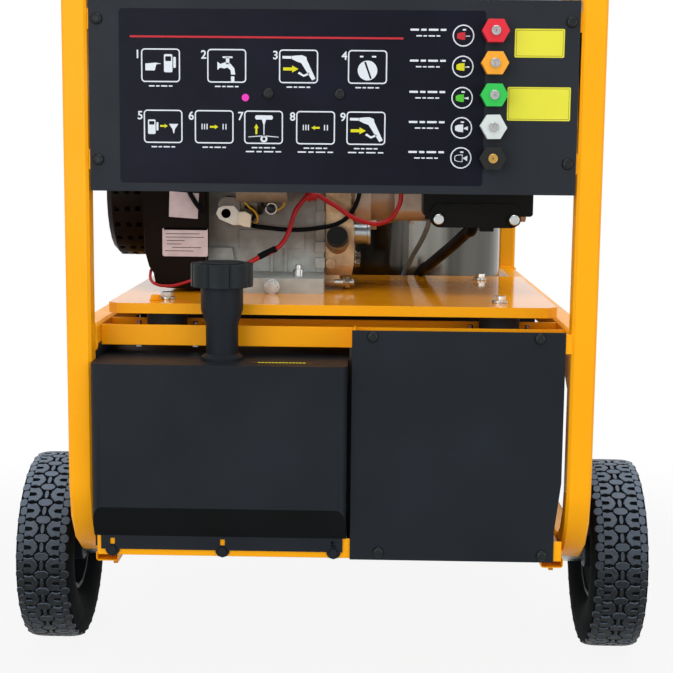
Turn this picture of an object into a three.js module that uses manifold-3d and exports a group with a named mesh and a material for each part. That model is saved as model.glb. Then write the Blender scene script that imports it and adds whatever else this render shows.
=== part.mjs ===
// Engine-driven hot-water pressure washer on a four-wheel tube frame.
// Millimetres. X to the right, Y away from the panel side, Z up, ground at Z = 0.
// The front faces of the front uprights lie at Y = 0 while the parts are drawn; the finished group is
// then moved so that its origin is at the middle of its footprint.

import * as THREE from 'three';
import { mergeVertices } from 'three/addons/utils/BufferGeometryUtils.js';
import Module from 'manifold-3d';

const wasm = await Module();
wasm.setup();

// ---------------------------------------------------------------- driving dimensions

// Tube frame
const FRAME_WIDTH = 640;
const FRAME_DEPTH = 955;
const FRAME_HEIGHT = 1000; // to the top of the push bar
const TUBE = 30;
const TUBE_WALL = 2;
const TUBE_CORNER = 3.5;
const BEND_RADIUS = 90; // to the tube's centre line
const BASE_HEIGHT = 168; // ground to the underside of the base
const PUSH_BAR_RISE = 115; // from the top rails to the top of the push bar
const DECK_DROP = 529; // from the push bar down to the deck rails
const BRACE_DROP = 165; // from the top rails down to the rear brace's underside
const CROSS_RAIL_WIDTH = 75;
const CROSS_RAIL_HEIGHT = 26;
const CROSS_RAIL_SHEET = 3;
const CROSS_RAIL_DROP = 3.5; // cross rails lie this much below the top of the deck rails
const CROSS_RAIL_FRONT = 64;
const CROSS_RAIL_REAR = 356;
const REAR_RAIL_WIDTH = 103;
const GUSSET_SHEET = 4;
const GUSSET_REACH = 112;
const GUSSET_DROP = 110;
const STUB_WIDTH = 28;
const STUB_HEIGHT = 13;
const STUB_WALL = 1.5;
const STUB_CORNER = 2.5;
const STUB_FRONT = 18;
const STUB_LENGTH = 142;
const SILL_FRONT = 2;
const SILL_SHEET = 3;
const SILL_HEIGHT = 25;
const SILL_LEG = 43;
const TAB_SHEET = 2.5;

// Running gear
const AXLE_Y = 242;
const AXLE_RADIUS = 10;
const WHEEL_RADIUS = 130;
const WHEEL_OFFSET = 63; // from the side of the frame to the middle of a wheel
const TYRE_WIDTH = 80;
const RIM_RADIUS = 64;
const HUB_RADIUS = 22;
const HUB_LENGTH = 62;
const TREAD_GROOVE = 5;
const BRACKET_SHEET = 6;
const CASTER_INSET = 45; // from the inner side of the frame to the caster's pin
const CASTER_Y = 820;
const CASTER_TRAIL = 36;
const CASTER_RADIUS = 62.5;
const CASTER_WIDTH = 36;
const CASTER_PLATE = 8;
const CASTER_PIN = 6;
const CASTER_AXLE = 6;

// Engine deck
const DECK_RISE = 24; // from the deck rails to the top of the deck
const DECK_SHEET = 3;
const DECK_CLEARANCE = 9; // between the deck and each side of the frame
const DECK_FRONT = 60;
const DECK_REAR = 482;
const DECK_FLANGE = 13;
const DECK_CORNER = 12;
const MOUNT_INSET = 68; // from the deck's side to a mount
const MOUNT_FRONT_Y = 109;
const MOUNT_REAR_Y = 421;
const MOUNT_RADIUS = 26;

// Engine
const CRANK_Y = 320;
const CRANK_RISE = 133; // above the deck
const CASE_LEFT = -175;
const CASE_RIGHT = -15;
const CASE_FRONT = 245;
const FOOT_FRONT = 195;
const FOOT_REAR = 450;
const FOOT_HEIGHT = 20;
const CYLINDER_ANGLE = 25; // degrees above level
const CYLINDER_START = 95; // from the crank axis
const CYLINDER_WIDTH = 150;
const FIN_COUNT = 8;
const FIN_PITCH = 10;
const FIN_THICKNESS = 3;
const COVER_RIGHT = 25;
const COVER_RADIUS = 80;
const COVER_FOOT = 19; // above the deck
const FILLER_X = 2;
const FILLER_DROP = 61; // below the crank's axis
const FILLER_LEAN = 25; // degrees above level
const FILLER_RADIUS = 16.2;
const SHROUD_LEFT = -258;
const SHROUD_HALF = 122;
const SHROUD_DROP = 130;
const SHROUD_RISE = 122;
const SHROUD_CORNER = 60;
const SHROUD_SHEET = 3;
const RECOIL_LEFT = -314;
const RECOIL_RADIUS = 92;
const RECOIL_SHEET = 2;
const RECOIL_ROWS = 24;
const RECOIL_SLOT = 7;
const ENGINE_TANK_RISE = 172; // above the crank's axis
const ENGINE_TANK_HEIGHT = 130;
const ENGINE_TANK_WIDTH = 300;
const ENGINE_TANK_DEPTH = 195;
const STARTER_RADIUS = 38;
const STARTER_RISE = 62;

// Pump
const FLANGE_THICKNESS = 22.5;
const FLANGE_RADIUS = 73;
const PUMP_LEFT = 80;
const PUMP_RIGHT = 262;
const PUMP_FRONT = 262;
const PUMP_REAR = 400;
const PUMP_DROP = 38;
const PUMP_HEIGHT = 110;
const HEAD_FRONT = 190;
const HEAD_LEFT = 117;
const HEAD_RIGHT = 263;
const HEAD_DROP = 27;
const HEAD_HEIGHT = 89;

// Boiler
const BOILER_X = 92;
const BOILER_Y = 740;
const BOILER_RADIUS = 180;
const BOILER_RISE = 305; // above the deck
const BURNER_DROP = 121.5; // from the cross rails down to the burner's axis
const BOILER_SHEET = 2;

// Fuel tank for the burner
const TANK_CLEARANCE = 1; // between the tank and the side of the frame
const TANK_RIGHT = 21;
const TANK_FRONT = -20;
const TANK_REAR = 200;
const TANK_HEADROOM = 11.5; // up to the cross rail
const TANK_SHEET = 2;
const TANK_CHAMFER_TOP = 254;
const TANK_CORNER = 12;
const NECK_X = -134;
const NECK_Y = 30;
const NECK_RADIUS = 20;
const NECK_MOUTH_RADIUS = 26;
const NECK_HEIGHT = 90;
const CAP_RADIUS = 38;
const CAP_HEIGHT = 29;
const CAP_LOBES = 8;

// Battery bay
const BAY_LEFT = 28;
const BAY_REAR = 190;
const BAY_SHEET = 2;
const BATTERY_CLEARANCE = 22;
const BATTERY_WIDTH = 129;
const BATTERY_HEADROOM = 36.5;
const COVER_LEFT = 26;
const COVER_CLEARANCE = 7; // between the cover plate and the upright
const COVER_BOTTOM = 187;
const COVER_RISE = 1; // above the deck rails
const COVER_SHEET = 2;

// Control panel and spray nozzles
const PANEL_CLEARANCE = 2; // between the panel and each upright
const PANEL_HEIGHT = 226;
const PANEL_DROP = 23; // below the top rails
const PANEL_FRONT = 2;
const PANEL_SHEET = 2;
const PANEL_RETURN = 24;
const MIDDLE_SCREW_PITCH = 84;
const MIDDLE_SCREW_RISE = 116; // above the panel's lower edge
const NOZZLE_X = 188;
const NOZZLE_PITCH = 36.6;
const NOZZLE_DROP = 37; // from the panel's top to the first nozzle
const NOZZLE_WIDTH = 32;
const NOZZLE_HEIGHT = 26;
const NOZZLE_TAIL = 5.8;

// Hoses and cables
const PUMP_HOSE_RADIUS = 6.5;
const FUEL_HOSE_RADIUS = 3.5;
const RED_CABLE_RADIUS = 3.2;
const BLACK_CABLE_RADIUS = 2.6;

const GAP = 0.3; // clearance where a turned or cut piece meets its neighbour
const HOSE_GAP = 1.5; // clearance between a hose's slanted end and its port
const WELD = 1; // depth that a welded bracket runs into the wall it is welded to

// ---------------------------------------------------------------- derived levels

const FRAME_TOP = FRAME_HEIGHT - PUSH_BAR_RISE;
const PANEL_TOP = FRAME_TOP - PANEL_DROP;
const PANEL_BOTTOM = PANEL_TOP - PANEL_HEIGHT;
const NOZZLE_TOP_Z = PANEL_TOP - NOZZLE_DROP;
const BRACE_HEIGHT = FRAME_TOP - BRACE_DROP;
const DECK_RAIL_TOP = FRAME_HEIGHT - DECK_DROP;
const COVER_TOP = DECK_RAIL_TOP + COVER_RISE;
const SIDE_INNER = FRAME_WIDTH / 2 - TUBE;
const WHEEL_PLANE = FRAME_WIDTH / 2 + WHEEL_OFFSET;
const CASTER_X = SIDE_INNER - CASTER_INSET;
const DECK_HALF_WIDTH = SIDE_INNER - DECK_CLEARANCE;
const MOUNT_X = DECK_HALF_WIDTH - MOUNT_INSET;
const TANK_LEFT = TANK_CLEARANCE - SIDE_INNER;
const TANK_WIDTH = TANK_RIGHT - TANK_LEFT;
const COVER_EDGE = SIDE_INNER - COVER_CLEARANCE;
const PANEL_HALF_WIDTH = SIDE_INNER - PANEL_CLEARANCE;
const BAY_RIGHT = SIDE_INNER - 2;
const BATTERY_LENGTH = BAY_RIGHT - BAY_LEFT - BATTERY_CLEARANCE;
const SIDE_CENTRE = FRAME_WIDTH / 2 - TUBE / 2;
const DECK_TOP = DECK_RAIL_TOP + DECK_RISE;
const BOILER_TOP = DECK_TOP + BOILER_RISE;
const CRANK_Z = DECK_TOP + CRANK_RISE;
const FILLER_Z = CRANK_Z - FILLER_DROP;
const SHROUD_BOTTOM = CRANK_Z - SHROUD_DROP;
const SHROUD_TOP = CRANK_Z + SHROUD_RISE;
const ENGINE_TANK_BOTTOM = CRANK_Z + ENGINE_TANK_RISE;
const STARTER_Z = CRANK_Z + STARTER_RISE;
const PUMP_BOTTOM = CRANK_Z - PUMP_DROP;
const PUMP_TOP = PUMP_BOTTOM + PUMP_HEIGHT;
const HEAD_BOTTOM = CRANK_Z - HEAD_DROP;
const HEAD_TOP = HEAD_BOTTOM + HEAD_HEIGHT;
const BASE_TOP = BASE_HEIGHT + TUBE;
const BASE_CENTRE = BASE_HEIGHT + TUBE / 2;
const CROSS_TOP = DECK_RAIL_TOP - CROSS_RAIL_DROP;
const CROSS_FOOT = CROSS_TOP - CROSS_RAIL_HEIGHT;
const CROSS_FLOOR = CROSS_FOOT + CROSS_RAIL_SHEET;
const TANK_TOP = CROSS_FOOT - TANK_HEADROOM;
const NECK_TOP = TANK_TOP + NECK_HEIGHT;
const BATTERY_HEIGHT = CROSS_FOOT - BATTERY_HEADROOM - BASE_TOP - BAY_SHEET;
const STUB_TOP = BASE_HEIGHT + 20;
const SILL_TOP = STUB_TOP + SILL_HEIGHT;
const SILL_BACK = SILL_FRONT + SILL_SHEET;
const SHROUD_RIGHT = CASE_LEFT;
const HALF_TURN = Math.PI;

// ---------------------------------------------------------------- solids

const AXES = {
  x: new THREE.Vector3(1, 0, 0),
  y: new THREE.Vector3(0, 1, 0),
  z: new THREE.Vector3(0, 0, 1),
};

// Planes on which profiles are drawn: square to X (drawn in Y, Z), to Y (in X, Z) and to Z (in X, Y).
const PLANES = {
  x: new THREE.Matrix4().makeBasis(AXES.y, AXES.z, AXES.x),
  y: new THREE.Matrix4().makeBasis(AXES.x, AXES.z, AXES.y.clone().negate()),
  z: new THREE.Matrix4(),
};

/** A closed three.js geometry as a manifold solid with its faces pointing out. */
function solid(geometry) {
  const bare = geometry.clone();
  bare.deleteAttribute('normal');
  bare.deleteAttribute('uv');
  const merged = mergeVertices(bare, 1e-3);
  const vertProperties = new Float32Array(merged.attributes.position.array);
  const triVerts = new Uint32Array(merged.index.array);
  let body = new wasm.Manifold(new wasm.Mesh({ numProp: 3, vertProperties, triVerts }));
  if (body.volume() < 0) {
    triVerts.reverse();
    body = new wasm.Manifold(new wasm.Mesh({ numProp: 3, vertProperties, triVerts }));
  }
  return body;
}

/** The triangles of a manifold solid as a three.js geometry. */
function geometryOf(body) {
  const mesh = body.getMesh();
  const geometry = new THREE.BufferGeometry();
  geometry.setAttribute('position', new THREE.BufferAttribute(mesh.vertProperties, 3));
  geometry.setIndex(new THREE.BufferAttribute(mesh.triVerts, 1));
  return geometry;
}

const fuse = (...bodies) => bodies.reduce((whole, body) => whole.add(body));
const cut = (body, ...tools) => tools.reduce((rest, tool) => rest.subtract(tool), body);

/** A box between two values on each axis. */
function block(x0, x1, y0, y1, z0, z1) {
  const geometry = new THREE.BoxGeometry(x1 - x0, y1 - y0, z1 - z0);
  return solid(geometry.translate((x0 + x1) / 2, (y0 + y1) / 2, (z0 + z1) / 2));
}

/** A flat profile drawn square to an axis and carried along it. */
function extrude(shape, axis, from, to, curveSegments = 6) {
  const geometry = new THREE.ExtrudeGeometry(shape, { depth: to - from, bevelEnabled: false, curveSegments });
  geometry.translate(0, 0, axis === 'y' ? -to : from);
  return solid(geometry.applyMatrix4(PLANES[axis]));
}

/** Turns a geometry made about Y so that its axis is the named one, and moves it to a centre. */
function stand(geometry, axis, centre) {
  if (axis === 'x') geometry.rotateZ(-HALF_TURN / 2);
  if (axis === 'z') geometry.rotateX(HALF_TURN / 2);
  return geometry.translate(...centre);
}

/** A round bar along an axis; the centre gives the other two coordinates. */
function rod(axis, centre, radius, from, to, segments = 16) {
  const geometry = new THREE.CylinderGeometry(radius, radius, to - from, segments);
  const middle = new THREE.Vector3(...centre);
  middle[axis] = (from + to) / 2;
  return solid(stand(geometry, axis, middle.toArray()));
}

/** A revolved profile of [radius, distance along the axis] points. */
function revolve(axis, centre, profile, segments = 20) {
  const points = profile.map(([radius, along]) => new THREE.Vector2(radius, along));
  const geometry = new THREE.LatheGeometry(points, segments, HALF_TURN / segments);
  return solid(stand(geometry, axis, centre));
}

/** A polygon through the given points, with optional holes. */
function polygon(points, ...holes) {
  const shape = new THREE.Shape(points.map(([u, v]) => new THREE.Vector2(u, v)));
  shape.holes.push(...holes);
  return shape;
}

/** A rectangle with round corners. */
function roundedRectangle(u0, u1, v0, v1, radius) {
  const shape = new THREE.Shape();
  const quarter = HALF_TURN / 2;
  shape.absarc(u1 - radius, v1 - radius, radius, 0, quarter);
  shape.absarc(u0 + radius, v1 - radius, radius, quarter, 2 * quarter);
  shape.absarc(u0 + radius, v0 + radius, radius, 2 * quarter, 3 * quarter);
  shape.absarc(u1 - radius, v0 + radius, radius, 3 * quarter, 4 * quarter);
  shape.closePath();
  return shape;
}

/** A regular polygon, for nuts and bolt heads, given its width across the flats. */
function hexagon(u, v, acrossFlats) {
  const radius = acrossFlats / Math.sqrt(3);
  const corners = Array.from({ length: 6 }, (_, i) => [
    u + radius * Math.cos((i * HALF_TURN) / 3),
    v + radius * Math.sin((i * HALF_TURN) / 3),
  ]);
  return polygon(corners);
}

/** A path whose steps fall on chosen stations, so that straight runs take one step. */
class StationPath extends THREE.Curve {
  constructor(stations) {
    super();
    this.stations = stations;
  }

  stationAt(u) {
    return this.stations[Math.round(u * (this.stations.length - 1))];
  }

  getPointAt(u, target = new THREE.Vector3()) {
    return target.copy(this.stationAt(u).point);
  }

  getTangentAt(u, target = new THREE.Vector3()) {
    return target.copy(this.stationAt(u).tangent);
  }
}

/** A path through corner points, each rounded to the bend radius. */
function bentPath(corners, radius, steps = 4) {
  const points = corners.map((corner) => new THREE.Vector3(...corner));
  const heading = (i) => points[i + 1].clone().sub(points[i]).normalize();
  const stations = [{ point: points[0], tangent: heading(0) }];
  for (let i = 1; i < points.length - 1; i++) {
    const before = heading(i - 1);
    const after = heading(i);
    const turn = before.angleTo(after);
    const start = points[i].clone().addScaledVector(before, -radius * Math.tan(turn / 2));
    const inward = after.clone().addScaledVector(before, -before.dot(after)).normalize();
    for (let k = 0; k <= steps; k++) {
      const angle = (turn * k) / steps;
      stations.push({
        point: start
          .clone()
          .addScaledVector(before, radius * Math.sin(angle))
          .addScaledVector(inward, radius * (1 - Math.cos(angle))),
        tangent: before.clone().multiplyScalar(Math.cos(angle)).addScaledVector(inward, Math.sin(angle)),
      });
    }
  }
  stations.push({ point: points.at(-1), tangent: heading(points.length - 2) });
  return new StationPath(stations);
}

/** The cross-section of the square frame tube, hollow, with bevelled outer corners. */
function tubeSection(width = TUBE, height = TUBE, wall = TUBE_WALL, corner = TUBE_CORNER) {
  const [w, h] = [width / 2, height / 2];
  const bore = [
    [-w + wall, -h + wall],
    [-w + wall, h - wall],
    [w - wall, h - wall],
    [w - wall, -h + wall],
  ];
  const outside = [
    [-w + corner, -h],
    [w - corner, -h],
    [w, -h + corner],
    [w, h - corner],
    [w - corner, h],
    [-w + corner, h],
    [-w, h - corner],
    [-w, -h + corner],
  ];
  return polygon(outside, polygon(bore));
}

/** Square frame tube bent through corner points. */
function bentTube(corners, radius = BEND_RADIUS) {
  const extrudePath = bentPath(corners, radius);
  const steps = extrudePath.stations.length - 1;
  return solid(new THREE.ExtrudeGeometry(tubeSection(), { steps, extrudePath }));
}

/** Straight square tube along an axis, centred on the two given coordinates. */
function straightTube(axis, u, v, from, to, section = tubeSection()) {
  const tube = extrude(section, axis, from, to);
  const offset = { x: [0, u, v], y: [u, 0, v], z: [u, v, 0] }[axis];
  return tube.translate(offset);
}

/** A hose or cable through points, as a round bar on one smooth curve. */
function cord(points, radius, steps, sides = 8) {
  const extrudePath = new THREE.CatmullRomCurve3(points.map((point) => new THREE.Vector3(...point)));
  const section = new THREE.Shape(
    Array.from({ length: sides }, (_, i) => {
      const angle = (2 * HALF_TURN * i) / sides;
      return new THREE.Vector2(radius * Math.cos(angle), radius * Math.sin(angle));
    }),
  );
  return solid(new THREE.ExtrudeGeometry(section, { steps, extrudePath }));
}

// ---------------------------------------------------------------- materials

const finish = (color, roughness, metalness = 0) => new THREE.MeshStandardMaterial({ color, roughness, metalness });
const MATERIALS = {
  orange: finish(0xfdae1e, 0.3),
  black: finish(0x2c3138, 0.45),
  rubber: finish(0x3d4144, 0.85),
  plastic: finish(0x2e363a, 0.55),
  casting: finish(0xa08f80, 0.5, 0.7),
  zinc: finish(0xb8bcbc, 0.35, 0.9),
  stainless: finish(0xc9cdd0, 0.15, 1),
  brass: finish(0xb08d45, 0.35, 1),
  red: finish(0xaa141e, 0.5),
  grey: finish(0x5b6062, 0.6),
};

const machine = new THREE.Group();

/** Adds one named sub-part to the machine. */
function add(name, body, material) {
  const mesh = new THREE.Mesh(geometryOf(body), material);
  mesh.name = name;
  machine.add(mesh);
}

const SIDES = [
  ['left', -1],
  ['right', 1],
];

// ---------------------------------------------------------------- tube frame

const REAR_CENTRE = FRAME_DEPTH - TUBE / 2;
const TOP_RAIL_CENTRE = FRAME_TOP - TUBE / 2;

/** One side of the frame: front upright, base rail, rear upright and top rail from one bent tube. */
function sideFrame(side) {
  const x = side * SIDE_CENTRE;
  const loop = bentTube([
    [x, TUBE / 2, FRAME_TOP],
    [x, TUBE / 2, BASE_CENTRE],
    [x, REAR_CENTRE, BASE_CENTRE],
    [x, REAR_CENTRE, TOP_RAIL_CENTRE],
    [x, TUBE - WELD, TOP_RAIL_CENTRE],
  ]);
  return fuse(loop, frontStub(side), axleBracket(side), railGusset(side), ...panelTabs(side));
}

/** The plate in the corner between the front upright and the deck rail. */
function railGusset(side) {
  const top = DECK_RAIL_TOP - TUBE - GAP;
  const outline = polygon([
    [TUBE - WELD, top],
    [TUBE - WELD, top - GUSSET_DROP],
    [TUBE + GUSSET_REACH, top - GUSSET_DROP * 0.35],
    [TUBE + GUSSET_REACH, top],
  ]);
  const middle = side * SIDE_CENTRE;
  return extrude(outline, 'x', middle - GUSSET_SHEET / 2, middle + GUSSET_SHEET / 2);
}

/** The open-ended tube beside the base rail that carries the front sill. */
function frontStub(side) {
  const centre = side * (SIDE_INNER + WELD - STUB_WIDTH / 2);
  const section = tubeSection(STUB_WIDTH, STUB_HEIGHT, STUB_WALL, STUB_CORNER);
  return straightTube('y', centre, STUB_TOP - STUB_HEIGHT / 2, STUB_FRONT, STUB_FRONT + STUB_LENGTH, section);
}

/** The plate under the base rail that holds the axle. */
function axleBracket(side) {
  const reach = 30;
  const outline = polygon([
    [AXLE_Y - reach, BASE_HEIGHT + WELD],
    [AXLE_Y - reach * 0.7, WHEEL_RADIUS - 2.2 * AXLE_RADIUS],
    [AXLE_Y + reach * 0.7, WHEEL_RADIUS - 2.2 * AXLE_RADIUS],
    [AXLE_Y + reach, BASE_HEIGHT + WELD],
  ]);
  outline.holes.push(new THREE.Path().absarc(AXLE_Y, WHEEL_RADIUS, AXLE_RADIUS + 2 * GAP, 0, 2 * HALF_TURN));
  const middle = side * SIDE_CENTRE;
  return extrude(outline, 'x', middle - BRACKET_SHEET / 2, middle + BRACKET_SHEET / 2, 10);
}

/** The tabs behind the control panel's corners and, on the right, behind the battery cover's corner. */
function panelTabs(side) {
  const tab = (reach, z, front, half = 12) => {
    const ends = [side * (SIDE_INNER - reach), side * (SIDE_INNER + WELD)].sort((a, b) => a - b);
    return block(...ends, front, front + TAB_SHEET, z - half, z + half);
  };
  const back = PANEL_FRONT + PANEL_SHEET;
  const tabs = [tab(22, PANEL_TOP - 25, back), tab(22, PANEL_BOTTOM + 37, back)];
  if (side > 0) tabs.push(tab(46, COVER_TOP - 14, COVER_SHEET));
  return tabs;
}

for (const [name, side] of SIDES) {
  add(`side_frame_${name}`, sideFrame(side), MATERIALS.orange);
  const rail = straightTube('y', side * SIDE_CENTRE, DECK_RAIL_TOP - TUBE / 2, TUBE, FRAME_DEPTH - TUBE);
  add(`deck_rail_${name}`, rail, MATERIALS.orange);
}

const pushBarCentre = FRAME_HEIGHT - TUBE / 2;
const pushBar = bentTube([
  [-SIDE_CENTRE, TUBE / 2, FRAME_TOP],
  [-SIDE_CENTRE, TUBE / 2, pushBarCentre],
  [SIDE_CENTRE, TUBE / 2, pushBarCentre],
  [SIDE_CENTRE, TUBE / 2, FRAME_TOP],
]);
add('push_bar', pushBar, MATERIALS.orange);

const crossTube = (y, z) => straightTube('x', y, z, -SIDE_INNER, SIDE_INNER);
add('rear_brace', crossTube(REAR_CENTRE, BRACE_HEIGHT + TUBE / 2), MATERIALS.orange);

/** A folded channel across the deck rails, open at the top, in which the engine mounts stand. */
function crossRail(front, width) {
  const back = front + width;
  const channel = polygon([
    [front, CROSS_FOOT],
    [back, CROSS_FOOT],
    [back, CROSS_TOP],
    [back - CROSS_RAIL_SHEET, CROSS_TOP],
    [back - CROSS_RAIL_SHEET, CROSS_FLOOR],
    [front + CROSS_RAIL_SHEET, CROSS_FLOOR],
    [front + CROSS_RAIL_SHEET, CROSS_TOP],
    [front, CROSS_TOP],
  ]);
  return extrude(channel, 'x', -SIDE_INNER, SIDE_INNER);
}
add('front_cross_rail', crossRail(CROSS_RAIL_FRONT, CROSS_RAIL_WIDTH), MATERIALS.orange);
add('rear_cross_rail', crossRail(CROSS_RAIL_REAR, REAR_RAIL_WIDTH), MATERIALS.orange);

/** A base tube with the two caster plates and their swivel pins under it. */
function casterBeam() {
  const plates = SIDES.flatMap(([, side]) => {
    const x = side * CASTER_X;
    const top = BASE_HEIGHT + WELD;
    const bottom = BASE_HEIGHT - CASTER_PLATE;
    return [
      block(x - 44, x + 44, CASTER_Y - 45, CASTER_Y + 45, bottom, BASE_HEIGHT),
      block(x - 44, x + 44, CASTER_Y - 14, CASTER_Y + 14, bottom, top),
      rod('z', [x, CASTER_Y, 0], CASTER_PIN, bottom - 14, bottom + 1, 12),
    ];
  });
  return fuse(crossTube(CASTER_Y, BASE_CENTRE), ...plates);
}
add('base_cross_front', crossTube(TANK_REAR - 20, BASE_CENTRE), MATERIALS.orange);
add('base_cross_mid', crossTube(BOILER_Y - 120, BASE_CENTRE), MATERIALS.orange);
add('base_cross_rear', casterBeam(), MATERIALS.orange);

/** The folded strip under the tank and the battery cover. */
function frontSill() {
  const profile = polygon([
    [SILL_FRONT, STUB_TOP],
    [SILL_FRONT + SILL_LEG, STUB_TOP],
    [SILL_FRONT + SILL_LEG, STUB_TOP + SILL_SHEET],
    [SILL_BACK, STUB_TOP + SILL_SHEET],
    [SILL_BACK, SILL_TOP],
    [SILL_FRONT, SILL_TOP],
  ]);
  return extrude(profile, 'x', -SIDE_INNER + 4, SIDE_INNER - 4);
}
add('front_sill', frontSill(), MATERIALS.orange);

// ---------------------------------------------------------------- running gear

const TYRE_SEGMENTS = 24;
const RIM_SEGMENTS = 14;
const HUB_HALF = HUB_LENGTH / 2;
const AXLE_END = WHEEL_PLANE + HUB_HALF + 12;

/** The axle: a bar with a shoulder inside each hub and a nut outside it. */
function axle() {
  const [start, end] = [SIDE_CENTRE + BRACKET_SHEET / 2 + GAP, WHEEL_PLANE - HUB_HALF - GAP];
  const outside = WHEEL_PLANE + HUB_HALF + GAP;
  const half = [
    [AXLE_RADIUS, start],
    [AXLE_RADIUS + 4, start],
    [AXLE_RADIUS + 4, end],
    [AXLE_RADIUS, end],
    [AXLE_RADIUS, AXLE_END],
    [0, AXLE_END],
  ];
  const profile = [...half.map(([r, x]) => [r, -x]).reverse(), ...half];
  const nuts = SIDES.map(([, side]) => {
    const ends = [side * outside, side * (outside + 9)].sort((a, b) => a - b);
    return extrude(hexagon(AXLE_Y, WHEEL_RADIUS, 28), 'x', ...ends);
  });
  return fuse(revolve('x', [0, AXLE_Y, WHEEL_RADIUS], profile, 10), ...nuts);
}
add('axle', axle(), MATERIALS.zinc);

/** Radius of the corners of a many-sided wheel whose flats touch a circle. */
const cornerRadius = (flat, segments) => flat / Math.cos(HALF_TURN / segments);

/** The tyre: a revolved section with a crowned tread, shoulder lugs and two running grooves. */
function tyre() {
  const half = TYRE_WIDTH / 2;
  const crown = cornerRadius(WHEEL_RADIUS, TYRE_SEGMENTS);
  const bead = cornerRadius(RIM_RADIUS + GAP, TYRE_SEGMENTS);
  const groove = crown - TREAD_GROOVE;
  const profile = [
    [bead, -half * 0.62],
    [bead + 30, -half],
    [crown - 6, -half * 0.9],
    [crown, -half * 0.4],
    [groove, -half * 0.32],
    [groove, half * 0.32],
    [crown, half * 0.4],
    [crown - 6, half * 0.9],
    [bead + 30, half],
    [bead, half * 0.62],
    [bead, -half * 0.62],
  ];
  return revolve('x', [0, 0, 0], profile, TYRE_SEGMENTS);
}

/** The pressed rim: hub, dished web and well. */
function rim() {
  const bore = cornerRadius(AXLE_RADIUS + 1.5 * GAP, RIM_SEGMENTS);
  const seat = RIM_RADIUS;
  const profile = [
    [bore, -HUB_HALF],
    [HUB_RADIUS, -HUB_HALF],
    [HUB_RADIUS, -4],
    [seat - 7, -8],
    [seat - 7, -TYRE_WIDTH * 0.3],
    [seat, -TYRE_WIDTH * 0.3],
    [seat, TYRE_WIDTH * 0.3],
    [seat - 7, TYRE_WIDTH * 0.3],
    [seat - 7, -4],
    [HUB_RADIUS, 0],
    [HUB_RADIUS, HUB_HALF],
    [bore, HUB_HALF],
    [bore, -HUB_HALF],
  ];
  return revolve('x', [0, 0, 0], profile, RIM_SEGMENTS);
}

const tyreBody = tyre();
const rimBody = rim();
for (const [name, side] of SIDES) {
  const place = [side * WHEEL_PLANE, AXLE_Y, WHEEL_RADIUS];
  add(`tyre_${name}`, tyreBody.translate(place), MATERIALS.rubber);
  add(`rim_${name}`, rimBody.translate(place), MATERIALS.black);
}

/** A swivel fork: crown, two legs and the wheel's bolt. */
function casterFork(x) {
  const crownTop = BASE_HEIGHT - CASTER_PLATE - GAP;
  const crownBottom = crownTop - 10;
  const wheelY = CASTER_Y + CASTER_TRAIL;
  const legInner = CASTER_WIDTH / 2 + 3;
  const legOuter = legInner + 4;
  const leg = polygon([
    [CASTER_Y - 26, crownBottom + 1],
    [wheelY - 14, CASTER_RADIUS - 6],
    [wheelY - 6, CASTER_RADIUS - 14],
    [wheelY + 6, CASTER_RADIUS - 14],
    [wheelY + 14, CASTER_RADIUS - 6],
    [CASTER_Y + 34, crownBottom + 1],
  ]);
  const crown = fuse(
    rod('z', [x, CASTER_Y, 0], 32, crownBottom, crownTop, 14),
    block(x - legOuter, x + legOuter, CASTER_Y - 26, CASTER_Y + 34, crownBottom, crownBottom + 5),
  );
  return fuse(
    cut(crown, rod('z', [x, CASTER_Y, 0], CASTER_PIN + 1.5 * GAP, crownBottom - 1, crownTop + 1, 12)),
    extrude(leg, 'x', x - legOuter, x - legInner),
    extrude(leg, 'x', x + legInner, x + legOuter),
    rod('x', [0, wheelY, CASTER_RADIUS], CASTER_AXLE, x - legOuter - 7, x + legOuter + 7, 8),
  );
}

/** A caster wheel with a rubber tread and a bore for its bolt. */
function casterWheel(x) {
  const half = CASTER_WIDTH / 2;
  const segments = 14;
  const bore = cornerRadius(CASTER_AXLE + 1.5 * GAP, segments);
  const outer = cornerRadius(CASTER_RADIUS, segments);
  const profile = [
    [bore, -half - 2],
    [19, -half - 2],
    [19, -half * 0.5],
    [outer - 15, -half * 0.5],
    [outer - 12, -half],
    [outer, -half * 0.7],
    [outer, half * 0.7],
    [outer - 12, half],
    [outer - 15, half * 0.5],
    [19, half * 0.5],
    [19, half + 2],
    [bore, half + 2],
    [bore, -half - 2],
  ];
  return revolve('x', [x, CASTER_Y + CASTER_TRAIL, CASTER_RADIUS], profile, segments);
}

for (const [name, side] of SIDES) {
  add(`caster_fork_${name}`, casterFork(side * CASTER_X), MATERIALS.zinc);
  add(`caster_wheel_${name}`, casterWheel(side * CASTER_X), MATERIALS.rubber);
}

// ---------------------------------------------------------------- engine deck

/** The folded plate that carries the engine, with its corners cut and its four mount bolts. */
function enginePlate() {
  const outline = (inset, corner) => {
    const [half, front, rear] = [DECK_HALF_WIDTH - inset, DECK_FRONT + inset, DECK_REAR - inset];
    return polygon([
      [-half + corner, front],
      [half - corner, front],
      [half, front + corner],
      [half, rear],
      [-half, rear],
      [-half, front + corner],
    ]);
  };
  const sheetBottom = DECK_TOP - DECK_SHEET;
  const tray = cut(
    extrude(outline(0, DECK_CORNER), 'z', DECK_TOP - DECK_FLANGE, DECK_TOP),
    extrude(outline(DECK_SHEET, DECK_CORNER), 'z', DECK_TOP - DECK_FLANGE - 1, sheetBottom),
  );
  const bolts = mountPlaces().flatMap(([, x, y]) => [
    rod('z', [x, y, 0], 9.5, DECK_TOP - 1, DECK_TOP + 1.8, 8),
    extrude(hexagon(x, y, 13), 'z', DECK_TOP, DECK_TOP + 8),
  ]);
  return fuse(tray, ...bolts);
}

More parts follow.
